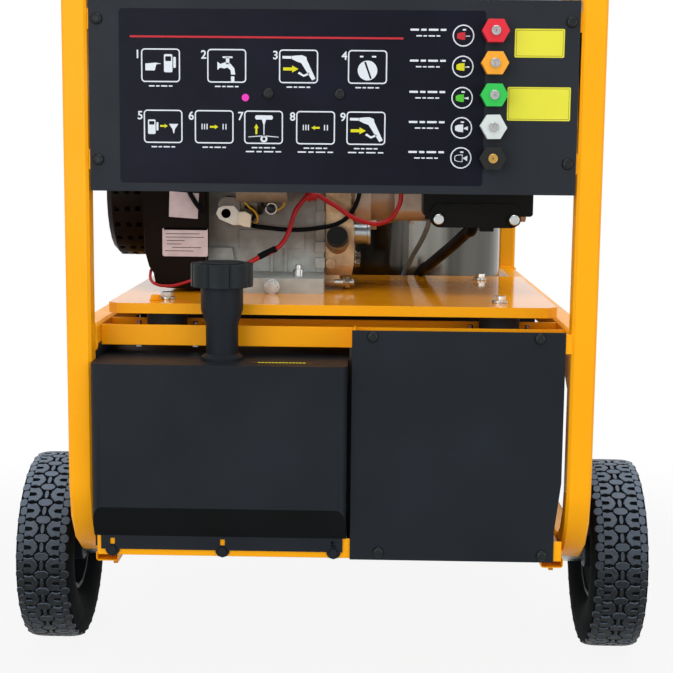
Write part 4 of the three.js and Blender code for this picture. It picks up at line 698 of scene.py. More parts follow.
@dataclass
class Bench:
    """The workbench: the CAD frame, its origin, and the ways that pieces are made on it."""

    nodes: dict[str, bpy.types.Object]

    def __post_init__(self) -> None:
        """Find where the front faces of the uprights lie in the row frame."""
        self.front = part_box("push_bar")[0].y
        self.to_row = Matrix.Translation((0, self.front, 0)) @ Matrix.Scale(MM, 4)

    def row(self, x: float, y: float, z: float) -> Vector:
        """Turn millimetres from the uprights' front faces into row-frame metres."""
        return self.to_row @ Vector((x, y, z))

    def shape(self, name: str) -> Shape:
        """Start a new mesh piece."""
        return Shape(self, name)

    def cut(
        self,
        name: str,
        plane: Plane,
        outlines: Sequence[Sequence[Point]],
        span: Point,
        finish: Finish,
        bevel_mm: float | None = None,
    ) -> None:
        """Add a fixed piece of one or more flat cuttings.

        Args:
            name: The piece's name.
            plane: The plane that they are drawn on.
            outlines: The cuttings.
            span: Where they start and end along the axis.
            finish: Their surface.
            bevel_mm: Width of the rounded edges, or None to leave every face flat.
        """
        shape = self.shape(name)
        for outline in outlines:
            shape.prism(plane, outline, *span)
        shape.finish(finish, "machine", bevel_mm or 0.0, smooth=bevel_mm is not None)

    def turn(
        self,
        name: str,
        axis: Plane,
        centre: Place,
        profile: Sequence[Point],
        steps: int,
        finish: Finish,
        bevel_mm: float = 0.0,
        body: str = "machine",
    ) -> None:
        """Add a piece that is one turned body.

        Args:
            name: The piece's name.
            axis: The axis that it turns about.
            centre: A point on the axis.
            profile: Radius and distance along the axis.
            steps: Number of facets.
            finish: Its surface.
            bevel_mm: Width of its rounded edges.
            body: The body that it rides on.
        """
        self.shape(name).turned(axis, centre, profile, steps).finish(finish, body, bevel_mm)

    def soften(self, piece: bpy.types.Object, bevel_mm: float, angle: float = 32.0) -> None:
        """Shade a mesh smooth and round its edges.

        Args:
            piece: The mesh object.
            bevel_mm: Width of the rounded edges, or 0 for none.
            angle: Edges sharper than this, in degrees, stay edges.
        """
        mesh = piece.data
        mesh.polygons.foreach_set("use_smooth", [True] * len(mesh.polygons))
        if bevel_mm > 0:
            bevel = piece.modifiers.new("rounded_edges", "BEVEL")
            bevel.width = bevel_mm * MM
            bevel.segments = 2
            bevel.limit_method = "ANGLE"
            bevel.angle_limit = math.radians(angle)
            bevel.miter_outer = "MITER_ARC"
        else:
            mesh.set_sharp_from_angle(angle=math.radians(angle))
        even = piece.modifiers.new("flat_faces_first", "WEIGHTED_NORMAL")
        even.weight = 80
        even.keep_sharp = True

    def dress(self, finish: Finish, *names: str, bevel_mm: float = 0.8, angle: float = 32.0) -> None:
        """Give CAD nodes their surface and soft edges.

        Args:
            finish: The surface.
            names: The nodes.
            bevel_mm: Width of their rounded edges.
            angle: Edges sharper than this, in degrees, stay edges.
        """
        for name in names:
            node = self.nodes[name]
            node.data.materials.clear()
            node.data.materials.append(finish.build())
            weld = node.modifiers.new("merged_corners", "WELD")
            weld.merge_threshold = 0.02 * MM
            flat = node.modifiers.new("whole_faces", "DECIMATE")
            flat.decimate_type = "DISSOLVE"
            flat.angle_limit = math.radians(0.8)
            self.soften(node, bevel_mm, angle)
            LOG.info("dressed %s in %s", name, finish.name)

    def second(self, finish: Finish, name: str, low: float, high: float, below_mm: float = math.inf) -> None:
        """Give some faces of a dressed node another surface.

        Args:
            finish: Their surface.
            name: The node.
            low: Lowest upward part of the face normals it takes.
            high: Highest.
            below_mm: Height under which their middles lie, if there is a limit.
        """
        node = self.nodes[name]
        node.data.materials.append(finish.build())
        for face in node.data.polygons:
            if low <= face.normal.z <= high and (node.matrix_world @ face.center).z < below_mm * MM:
                face.material_index = len(node.data.materials) - 1

    def wire(
        self,
        name: str,
        points: Sequence[Place],
        radius: float,
        finish: Finish,
        body: str = "machine",
        slim: dict[int, float] | None = None,
    ) -> bpy.types.Object:
        """Lay a round cable or hose along a smooth curve through points.

        Args:
            name: The piece's name.
            points: Millimetres from the uprights' front faces.
            radius: Its radius in millimetres.
            finish: Its surface.
            body: The body that it rides on.
            slim: Share of the radius at some of its points, by number.

        Returns:
            The piece.
        """
        curve = bpy.data.curves.new(name, "CURVE")
        curve.dimensions = "3D"
        curve.bevel_depth = radius * MM
        curve.bevel_resolution = 4
        curve.use_fill_caps = True
        curve.resolution_u = 6
        spline = curve.splines.new("BEZIER")
        spline.bezier_points.add(len(points) - 1)
        for number, (knot, place) in enumerate(zip(spline.bezier_points, points)):
            knot.co = self.row(*place)
            knot.radius = (slim or {}).get(number, 1.0)
            knot.handle_left_type = knot.handle_right_type = "AUTO"
        curve.materials.append(finish.build())
        piece = add_object(name, curve)
        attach(piece, body)
        return piece

    def hex_bolt(
        self, shape: Shape, axis: Plane, centre: Place, flats: float, height: float, way: int
    ) -> None:
        """Add a chamfered hexagon head with its washer to a shape.

        Args:
            shape: The shape that takes it.
            axis: The bolt's axis.
            centre: Where it seats.
            flats: Width across the flats.
            height: Height of the head.
            way: 1 if the head points along the axis, -1 against it.
        """
        seat = {Plane.SIDE: centre[0], Plane.FRONT: centre[1], Plane.TOP: centre[2]}[axis]
        u, v = {Plane.SIDE: centre[1:], Plane.FRONT: centre[::2], Plane.TOP: centre[:2]}[axis]
        washer = 1.6
        ends = sorted((seat, seat + way * washer))
        shape.prism(axis, circle(u, v, flats * 0.72, 24), *ends)
        ends = sorted((seat + way * washer, seat + way * height))
        shape.prism(axis, circle(u, v, flats / math.sqrt(3), 6, 15), *ends)


# ---------------------------------------------------------------- sub-assemblies


@dataclass
class TubeFrame:
    """The welded frame, its sill and cross rails, with weld beads where tubes meet."""

    bench: Bench
    tube: float = 30.0
    half_width: float = 320.0
    bead: float = 2.4
    rail_height: float = 456.0
    rails: tuple[tuple[str, float], ...] = (("deck_front", 30), ("deck_rear", 925))
    crossings: tuple[tuple[str, float, float], ...] = (
        ("base_front", 180, 183), ("base_mid", 620, 183), ("base_rear", 820, 183), ("brace", 940, 735),
    )

    def build(self) -> None:
        """Dress the frame and lay its weld beads."""
        self.bench.dress(
            FRAME_COAT,
            "side_frame_left", "side_frame_right", "push_bar", "rear_brace", "deck_rail_left",
            "deck_rail_right", "base_cross_front", "base_cross_mid", "base_cross_rear",
            bevel_mm=1.2,
        )
        folded = ("front_cross_rail", "rear_cross_rail", "front_sill", "battery_box")
        self.bench.dress(FRAME_COAT, *folded, bevel_mm=0.9)
        self.beads()

    def beads(self) -> None:
        """Lay a fillet of weld round each tube end."""
        inner, upright = self.half_width - self.tube, self.half_width - self.tube / 2
        for side, label in ((-1, "left"), (1, "right")):
            for name, y in self.rails:
                self.weld(f"weld_{name}_{label}", Plane.FRONT, (side * upright, self.rail_height), y)
            for name, y, z in self.crossings:
                self.weld(f"weld_{name}_{label}", Plane.SIDE, (y, z), side * inner)

    def weld(self, name: str, plane: Plane, middle: Point, along: float) -> None:
        """Lay one bead round the end of a square tube.

        Args:
            name: The piece's name.
            plane: The plane of the tube's end.
            middle: The middle of the end on that plane.
            along: Where the plane lies along its axis.
        """
        half = self.tube / 2
        signs = ((-1, -1), (1, -1), (1, 1), (-1, 1), (-1, -1))
        corners = [Vector(plane.lift(middle[0] + a * half, middle[1] + b * half, along)) for a, b in signs]
        points = []
        for start, end in zip(corners, corners[1:]):
            points += [tuple(start.lerp(end, t)) for t in (0.06, 0.35, 0.65, 0.94)]
        self.bench.wire(name, points, self.bead, FRAME_COAT)


@dataclass
class RunningGear:
    """Front wheels with block tread, axle and rear casters."""

    bench: Bench
    radius: float = 130.0
    width: float = 75.0
    plane: float = 384.0
    axle_y: float = 242.0
    rows: int = 33
    groove: float = 2.6
    drawn_width: float = 80.0
    worn: float = 0.4
    rounding: float = 4.5
    claw: tuple[Point, ...] = (
        (6, 0), (8, 5), (13, 10.5), (19, 9), (25, 10.5), (25.5, 3.2), (16, 2.6),
        (13.5, 0), (16, -2.6), (25.5, -3.2), (25, -10.5), (19, -9), (13, -10.5), (8, -5),
    )

    def build(self) -> None:
        """Dress the rims and casters and mould the two tyres."""
        self.bench.dress(BLACK_COAT, "rim_left", "rim_right", bevel_mm=1.5)
        self.bench.dress(ZINC_PLATE, "axle", "caster_fork_left", "caster_fork_right", bevel_mm=0.6)
        self.bench.dress(CASTER_RUBBER, "caster_wheel_left", "caster_wheel_right", bevel_mm=1.5)
        for side, label in ((-1, "left"), (1, "right")):
            self.tyre(side, label)

    def crown(self, offset: float) -> float:
        """Return the tread's radius at an offset from the wheel's middle plane."""
        return self.radius - self.worn - self.rounding * (abs(offset) / (self.width / 2)) ** 5

    def tyre(self, side: int, label: str) -> None:
        """Mould one tyre: a crowned carcass under a nearly closed tread of blocks.

        Args:
            side: -1 on the left, 1 on the right.
            label: The side's name.
        """
        half = self.width / 2
        shoulders = [(i / 8 - 1) * half * 0.93 for i in range(17)]
        tread = [(self.crown(o) - self.groove, o) for o in shoulders]
        wall_in = [(64.5, -half * 0.6), (76, -half * 0.86), (95, -half * 0.99), (110, -half * 0.985)]
        wall_out = [(r, -o) for r, o in reversed(wall_in)]
        profile = [*wall_in, *tread, *wall_out, wall_in[0]]
        shape = self.bench.shape(f"tyre_carcass_{label}")
        shape.turned(Plane.SIDE, (side * self.plane, self.axle_y, self.radius), profile, 96)
        carcass = shape.finish(TYRE_RUBBER, f"wheel_{label}")
        blocks = self.bench.shape(f"tyre_blocks_{label}")
        for row in range(self.rows):
            self.block(blocks, side, self.oval(0, 0, 9.5, 5.0), row)
            self.block(blocks, side, self.oval(0, 0, 2.6, 6.0), row + 0.5)
            for way in (-1, 1):
                self.block(blocks, side, [(way * a, b) for a, b in self.claw], row + 0.5)
                self.block(blocks, side, self.oval(way * 29.5, 0, 4.6, 5.8), row + 0.5)
                self.block(blocks, side, self.oval(way * 31.5, 0, 5.4, 5.2), row)
        knobs = blocks.finish(TREAD_RUBBER, f"wheel_{label}", smooth=False)
        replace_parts(carcass, f"tyre_{label}")
        LOG.info("moulded %s and %s", carcass.name, knobs.name)

    def oval(self, across: float, along: float, half_across: float, half_along: float) -> list[Point]:
        """Draw a block with cut corners.

        Args:
            across: Its middle, from the wheel's middle plane.
            along: Its middle, round the tread.
            half_across: Half its width.
            half_along: Half its length round the tread.

        Returns:
            The outline's points.
        """
        front = ((-0.5, -1), (0.5, -1), (1, -0.45), (1, 0.45))
        corners = (*front, *((-u, -v) for u, v in front))
        return [(across + u * half_across, along + v * half_along) for u, v in corners]

    def block(self, shape: Shape, side: int, outline: Sequence[Point], row: float) -> None:
        """Add one tread block to a shape.

        Args:
            shape: The shape that takes it.
            side: -1 on the left wheel, 1 on the right.
            outline: Its corners in millimetres, across the tread and round it.
            row: Its place round the wheel, in pitches.
        """
        middle = [sum(corner[i] for corner in outline) / len(outline) for i in (0, 1)]
        rings = []
        for lift, swell in ((-0.5, 1.06), (0.75, 1.06), (1.0, 0.98)):
            ring = []
            for corner in outline:
                across, along = (m + (c - m) * swell for m, c in zip(middle, corner))
                across *= self.width / self.drawn_width
                angle = 2 * math.pi * row / self.rows + along / self.radius
                r = self.crown(across) + self.groove * (lift - 1)
                y, z = self.axle_y + r * math.sin(angle), self.radius - r * math.cos(angle)
                ring.append(shape.bm.verts.new((side * self.plane + across, y, z)))
            rings.append(ring)
        count = len(outline)
        for before, after in zip(rings, rings[1:]):
            for i in range(count):
                j = (i + 1) % count
                shape.bm.faces.new((before[i], before[j], after[j], after[i]))
        shape.bm.faces.new(rings[-1])
        shape.bm.faces.new(list(reversed(rings[0])))


@dataclass
class EngineDeck:
    """The folded engine plate with its bolts, mounts and the studs of the cross rails."""

    bench: Bench
    top: float = 495.0
    rows: Point = (109, 421)
    bolts: Point = (-213, 213)
    feet: tuple[float, ...] = (-249.5, -176.5, 176.5, 249.5)

    def build(self) -> None:
        """Dress the deck and add its fasteners."""
        self.bench.dress(DECK_COAT, "engine_plate", bevel_mm=1.4)
        self.bench.second(FRAME_COAT, "engine_plate", -0.5, 0.5)
        mounts = [f"engine_mount_{a}_{b}" for a in ("front", "rear") for b in ("left", "right")]
        self.bench.dress(NEOPRENE, *mounts, bevel_mm=0.8)
        heads = self.bench.shape("deck_bolts")
        for x, y in ((x, y) for y in self.rows for x in self.bolts):
            self.bench.hex_bolt(heads, Plane.TOP, (x, y, self.top + 1.9), 14.2, 7.5, 1)
            heads.turned(Plane.TOP, (x, y, self.top), [(10, 0.2), (10, 2.0), (8, 2.1)], 24)
        heads.finish(ZINC_PLATE, "machine", 0.4)
        studs = self.bench.shape("mount_studs")
        for x, y in ((x, y) for x in self.feet for y in self.rows):
            studs.turned(Plane.TOP, (x, y, 0), [(3.4, 447.5), (3.4, 466.2), (2.4, 467.2)], 14)
            studs.turned(Plane.TOP, (x, y, 0), [(7.0, 447.5), (7.0, 454.0)], 6)
            studs.turned(Plane.TOP, (x, y, 0), [(6.6, 434.0), (6.6, 441.5)], 6)
        studs.finish(ZINC_PLATE, "machine")
        # Painted shade: near-black sheets under the deck and along its left side stand for the dark space
        # behind the front rail.
        guard = self.bench.shape("deck_shade_sheets")
        guard.prism(Plane.FRONT, rounded_box(-289, 289, 431, 471, 3), 351.5, 353.5)
        guard.prism(Plane.SIDE, rounded_box(31, 352, 398, 446, 3), -290.6, -289.4)
        guard.finish(BLACK_COAT, "machine", smooth=False)
        painted = self.bench.shape("painted_bolt")
        self.bench.hex_bolt(painted, Plane.TOP, (-226, 97, self.top), 11, 6.5, 1)
        painted.finish(FRAME_COAT, "machine", 0.5)


@dataclass
class Engine:
    """Crankcase, covers, shroud, starter and what is bolted to them."""

    bench: Bench
    face: float = 245.0
    crank: Point = (320.0, 628.0)
    seam: float = -15.0
    shroud_front: float = 197.8
    slot_rows: int = 48
    slot_half: float = 3.3
    slot_depth: float = 3.0
    slot_rings: Place = (-299.5, -285.0, -270.5)
    cup_radii: Point = (92.15, 91.4)

    def build(self) -> None:
        """Dress the engine and add its fittings."""
        self.bench.dress(CASE_ALUMINIUM, "crankcase", bevel_mm=1.6)
        self.bench.dress(WARM_CAST_ALUMINIUM, "crankcase_cover", bevel_mm=1.6)
        self.bench.dress(PALE_CASTING, "cylinder", bevel_mm=0.6)
        self.bench.dress(BLACK_MOULDING, "oil_filler_cap", "air_filter", bevel_mm=1.2)
        self.bench.dress(STOVED_ENAMEL, "blower_housing", bevel_mm=2.0)
        self.bench.dress(STOVED_ENAMEL, "recoil_cover", bevel_mm=0.5)
        self.bench.dress(BLACK_COAT, "engine_fuel_tank", bevel_mm=1.5)
        self.bench.dress(MOULDED_NYLON, "engine_fuel_cap", "recoil_handle", bevel_mm=1.2)
        self.bench.dress(ZINC_PLATE, "muffler", bevel_mm=1.2)
        self.bench.dress(STARTER_CASTING, "starter_motor", bevel_mm=1.2)
        self.fasteners()
        self.slots()
        self.labels()
        self.wiring()

    def fasteners(self) -> None:
        """Add the drain bolts, studs, seam and lug of the crankcase."""
        zinc = self.bench.shape("engine_bolts")
        self.bench.hex_bolt(zinc, Plane.TOP, (-50, 217, 515.2), 13.6, 10.4, 1)
        zinc.turned(Plane.TOP, (-50, 217, 0), [(4.2, 525), (4.2, 531.5), (3.2, 532.5)], 16)
        zinc.turned(Plane.FRONT, (-84, 0, 504.5), [(9.6, 192), (9.6, 189.5), (8.4, 189)], 24)
        self.bench.hex_bolt(zinc, Plane.FRONT, (-84, 189, 504.5), 14.4, 5.5, -1)
        zinc.turned(Plane.SIDE, (0, 261, 505), [(7.5, -2), (7.5, 10)], 24)
        zinc.turned(Plane.SIDE, (0, 261, 505), [(9.2, 13.4), (9.2, 19.4)], 6)
        zinc.turned(Plane.SIDE, (0, 261, 505), [(5.0, 19.4), (5.0, 24.4), (3.8, 25.2)], 20)
        for y, z in ((408, 530), (350, 526)):
            self.bench.hex_bolt(zinc, Plane.SIDE, (25, y, z), 12.6, 7.8, 1)
        zinc.finish(ZINC_PLATE, "machine", 0.4)
        low, high = self.face - 5, self.face + 2
        outline = [(low, 518), (high, 518), (high, 660), (low, 660)]
        span = (self.seam - 0.9, self.seam + 0.3)
        self.bench.cut("crankcase_gasket", Plane.SIDE, [outline], span, NEOPRENE)

    def slots(self) -> None:
        """Add the rows of blind slots between the pierced ones, drawn as near-black painted shade, and the
        shroud's lower lip.
        """
        # Each blind slot is a near-black block of painted shade standing for its dark inside.
        shape = self.bench.shape("recoil_slot_shade")
        y, z = self.crank
        half = self.slot_half
        for row in range(self.slot_rows):
            rings = self.slot_rings if row % 2 else self.slot_rings[1:2]
            reach = self.cup_radii[row % 2]
            angle = math.radians(360 / self.slot_rows * row)
            c, s = math.cos(angle), math.sin(angle)
            root = reach - self.slot_depth
            corners = ((root, -half), (reach, -half), (reach, half), (root, half))
            outline = [(y + a * s - b * c, z + a * c + b * s) for a, b in corners]
            for ring in rings:
                shape.prism(Plane.SIDE, outline, ring - half, ring + half)
        shape.finish(SHADE_AND_INK_BLACK, "machine", smooth=False)
        lip = [
            (-257.5, 590), (-256, 549), (-250.5, 529), (-244.5, 520), (-241.5, 503), (-226, 500),
            (-177, 499), (-177, 592),
        ]
        self.bench.cut("shroud_lip", Plane.FRONT, [lip], (197.9, 214), STOVED_ENAMEL, 1.5)

    def labels(self) -> None:
        """Add the shroud's labels, the upper one blank and the lower with dashes, and the cable over them."""
        front = self.shroud_front
        card, print_on_it = (front - 0.35, front - 0.02), (front - 0.42, front - 0.33)
        upper = [(-223, 596), (-184.5, 593.5), (-182.6, 627.5), (-222, 630)]
        self.bench.cut("shroud_label_upper", Plane.FRONT, [upper], card, PALE_VINYL)
        lower = rounded_box(-232, -171, 543, 581, 2.5)
        self.bench.cut("shroud_label_lower", Plane.FRONT, [lower], card, PALE_VINYL)
        strip = rounded_box(-230, -172, 578.4, 581.6, 0.6)
        self.bench.cut("shroud_label_strip", Plane.FRONT, [strip], (front - 0.5, front - 0.33), SHADE_AND_INK_BLACK)
        ends = ((-228, -182), (-228, -176), (-226, -202), (-226, -206), (-219, -180), (-229, -190))
        levels = [573 - 4.6 * i for i in range(len(ends))]
        lines = [rounded_box(a, b, z, z + 0.9, 0.3, 2) for (a, b), z in zip(ends, levels)]
        self.bench.cut("shroud_label_lines", Plane.FRONT, lines, print_on_it, DARK_INK)
        drop = [(-197, 194.5, 642), (-194.9, 194.5, 629.4), (-190, 194.5, 620.5), (-184.5, 195, 612)]
        self.bench.wire("shroud_cable", [*drop, (-178, 199, 604)], 3.2, HOSE_RUBBER)

    def wiring(self) -> None:
        """Add the connector, solenoid, terminal, drive-end hub and loose wires at the crankcase."""
        lug = [
            (-163, 600), (-160, 607.5), (-153, 611), (-138, 611), (-128, 600), (-131, 584), (-140, 584),
            (-159, 592),
        ]
        self.bench.cut("lug_plate", Plane.FRONT, [lug], (222.6, 224.9), PALE_CASTING, 0.8)
        # The lug's hole is a near-black disc of painted shade.
        self.bench.cut("lug_hole_shade", Plane.FRONT, [circle(-149, 600, 6.4, 28)], (222.3, 223), SHADE_AND_INK_BLACK)
        block = [(-133.2, 587), (-131, 602.6), (-122, 603.4), (-113.6, 598.6), (-115.4, 582), (-124, 583)]
        self.bench.cut("cream_connector", Plane.FRONT, [block], (211, 224), CREAM_NYLON, 1.0)
        tail = [(-114, 216, 592), (-109, 215, 600), (-113, 214, 607), (-122, 216, 610)]
        self.bench.wire("connector_tail", tail, 2.6, HOSE_RUBBER)
        barrel = (0, 232, 615)
        can = [(14.5, -130), (16, -128), (16, -106), (14.5, -104)]
        self.bench.turn("starter_solenoid", Plane.SIDE, barrel, can, 32, OLIVE_STEEL, 0.6)
        end_cap = [(16.8, -106), (16.8, -101), (9, -98), (9, -94)]
        self.bench.turn("solenoid_end_cap", Plane.SIDE, barrel, end_cap, 32, BLACK_MOULDING, 0.6)
        terminal = self.bench.shape("starter_terminal")
        terminal.band(Plane.FRONT, circle(-88, 607, 8.2, 28), circle(-88, 607, 6.4, 28), 225.5, 228.2)
        terminal.finish(PALE_CASTING, "machine", 0.3)
        core = [(6.3, 228.4), (6.3, 227), (3.4, 226.6), (3.4, 223), (2.4, 222.4)]
        self.bench.turn("starter_terminal_core", Plane.FRONT, (-88, 0, 607), core, 20, BLACK_OXIDE, 0.2)
        hub = [(15.5, 18), (15.5, 42.5), (17, 43), (17, 46.5), (15.5, 47)]
        self.bench.turn("drive_end_hub", Plane.SIDE, (0, 268, 574), hub, 40, BLUED_STEEL, 0.4)
        wires = {
            "yellow_wire_left": [
                (-130, 214, 640), (-126, 211, 622), (-118, 210, 611), (-108, 212, 602), (-106, 218, 590),
                (-111, 224, 588),
            ],
            "yellow_wire_right": [
                (-90, 214, 636), (-80, 213, 628), (-71, 215, 622), (-70, 219, 613), (-79, 225, 605),
            ],
        }
        for name, points in wires.items():
            self.bench.wire(name, points, 1.3, YELLOW_INSULATION)


@dataclass
class Pump:
    """Pump body, head, unloader and the hoses that leave it."""

    bench: Bench
    hose: tuple[Place, ...] = ()
    thin_hose: tuple[Place, ...] = ()

    def build(self) -> None:
        """Dress the pump and lay its hoses."""
        self.bench.dress(CAST_ALUMINIUM, "pump_body", bevel_mm=1.6)
        self.bench.dress(BLACK_CASTING, "pump_head", bevel_mm=1.4)
        self.bench.dress(BRASS, "unloader_valve", bevel_mm=0.6)
        self.bench.dress(MOULDED_NYLON, "unloader_knob", bevel_mm=1.0)
        bolts = self.bench.shape("pump_head_bolts")
        rims = self.bench.shape("pump_bolt_rims")
        for x in (137, 237):
            bolts.turned(Plane.FRONT, (x, 0, 597), [(6.9, 190), (6.9, 183.6), (6.0, 182.9)], 24)
            rims.turned(Plane.FRONT, (x, 0, 597), [(9.0, 190.5), (9.0, 187.6), (8.2, 187.0)], 24)
        bolts.finish(ZINC_PLATE, "machine", 0.3)
        rims.finish(BLACK_CASTING, "machine", 0.3)
        hose = self.bench.wire("pump_hose_smooth", self.hose, 8.2, HOSE_RUBBER)
        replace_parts(hose, "pump_hose")
        thin = self.bench.wire("thin_hose_smooth", self.thin_hose, 3.5, GREY_HOSE)
        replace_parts(thin, "fuel_hose")


@dataclass
class Boiler:
    """The stainless boiler drum, its cowl and the burner below the deck."""

    bench: Bench
    centre: Point = (92.0, 740.0)
    radius: float = 180.0
    band_feet: Point = (215, 770)
    band_height: float = 18.0
    band_depths: Point = (0.1, 1.4)

    def build(self) -> None:
        """Dress the boiler and add its clamp bands."""
        # Painted reflections: the stainless colour carries dark vertical bands.
        self.bench.dress(STAINLESS_WITH_PAINTED_REFLECTIONS, "boiler_shell", bevel_mm=0.8)
        self.bench.dress(STAINLESS_WITH_PAINTED_REFLECTIONS, "boiler_cowl", bevel_mm=0.8)
        self.bench.dress(BLACK_COAT, "burner", bevel_mm=1.5)
        bands = self.bench.shape("boiler_bands")
        x, y = self.centre
        inner, outer = (self.radius + depth for depth in self.band_depths)
        for z in self.band_feet:
            top = z + self.band_height
            ring = [(inner, z), (outer, z), (outer, top), (inner, top), (inner, z)]
            bands.turned(Plane.TOP, (x, y, 0), ring, 72)
        bands.finish(STAINLESS_WITH_PAINTED_REFLECTIONS, "machine")


@dataclass
class TankBay:
    """Burner fuel tank, battery bay and the flat cover in front of it."""

    bench: Bench
    screws: tuple[Point, ...] = ((51, 464.5), (252, 464.5), (61, 197), (261.5, 196))
    neck: Point = (-134.0, 30.0)
    tank_top: float = 430.0
    lobes: int = 8
    lobe_turn: float = -90.0

    def build(self) -> None:
        """Dress the tank and cover and add their screws."""
        self.bench.dress(BLACK_COAT, "fuel_tank", bevel_mm=1.6)
        # Painted shade: the tank's downward faces below 300 mm take the darker copy of the coat.
        self.bench.second(SHADED_UNDERSIDE_COAT, "fuel_tank", -1.0, -0.15, 300)
        self.bench.dress(BLACK_COAT, "cover_plate", bevel_mm=0.5)
        self.cap()
        self.bench.dress(BLACK_MOULDING, "battery", bevel_mm=1.0)
        collar = [(20.1, 479), (21.6, 479.6), (21.6, 485.6), (20.1, 486.2)]
        self.bench.turn("neck_ring", Plane.TOP, (*self.neck, 0), collar, 48, BLACK_COAT, 0.3)
        x, y = self.neck
        turns = [i * math.pi / 8 for i in range(17)]
        foot = [(x + 21 * math.cos(a), y + 21 * math.sin(a), self.tank_top + 1.4) for a in turns]
        self.bench.wire("neck_weld", foot, 2.2, BLACK_COAT)
        top = self.tank_top
        label = rounded_box(-95, -22, 3, 10, 0.8)
        self.bench.cut("tank_label", Plane.TOP, [label], (top + 0.02, top + 0.3), BLACK_MOULDING)
        starts = [-88 + 4.2 * i for i in range(14)]
        dashes = [rounded_box(u, u + 3.1, 4.2, 8.8, 0.4, 2) for u in starts]
        self.bench.cut("tank_label_dashes", Plane.TOP, dashes, (top + 0.28, top + 0.4), YELLOW_VINYL)
        # Painted shade: a dark neoprene strip fills the gap between the tank and the cover, standing for the
        # shade in it.
        gap_shade = rounded_box(21.3, 27.7, 198, 431, 1)
        self.bench.cut("bay_gap_shade", Plane.FRONT, [gap_shade], (40, 44), NEOPRENE)
        heads = self.bench.shape("cover_screws")
        for x, z in self.screws:
            socket_screw(heads, x, z, 0.0)
        heads.finish(BLACK_OXIDE, "machine", 0.2)

    def cap(self) -> None:
        """Mould the filler cap with eight grip lobes round a dished top."""
        x, y = self.neck
        outline = []
        for lobe in range(self.lobes):
            for degrees, radius in ((-22.5, 34.6), (-18.5, 37.4), (-9, 38), (0, 38), (9, 38), (18.5, 37.4)):
                angle = math.radians(360 / self.lobes * lobe + degrees + self.lobe_turn)
                outline.append((x + radius * math.cos(angle), y + radius * math.sin(angle)))
        shape = self.bench.shape("lobed_cap")
        shape.prism(Plane.TOP, outline, 520.5, 549)
        dish = [(27.5, 548.8), (27.5, 550.4), (25.0, 550.8), (24.0, 549.4), (0, 549.4)]
        shape.turned(Plane.TOP, (x, y, 0), dish, 40)
        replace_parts(shape.finish(MOULDED_NYLON, "tank_cap", 1.5), "filler_cap")


def socket_screw(shape: Shape, x: float, z: float, seat: float) -> None:
    """Add a button-head screw with a hexagon socket, facing the front.

    Args:
        shape: The shape that takes it.
        x: Its place across.
        z: Its height.
        seat: The face that it sits on.
    """
    dome = [(6.8, 0.0), (6.8, -1.2), (6.2, -2.3), (5.0, -3.2), (3.4, -3.6)]
    shape.turned(Plane.FRONT, (x, seat, z), [*dome, (3.2, -3.2), (3.2, -3.05)], 28)


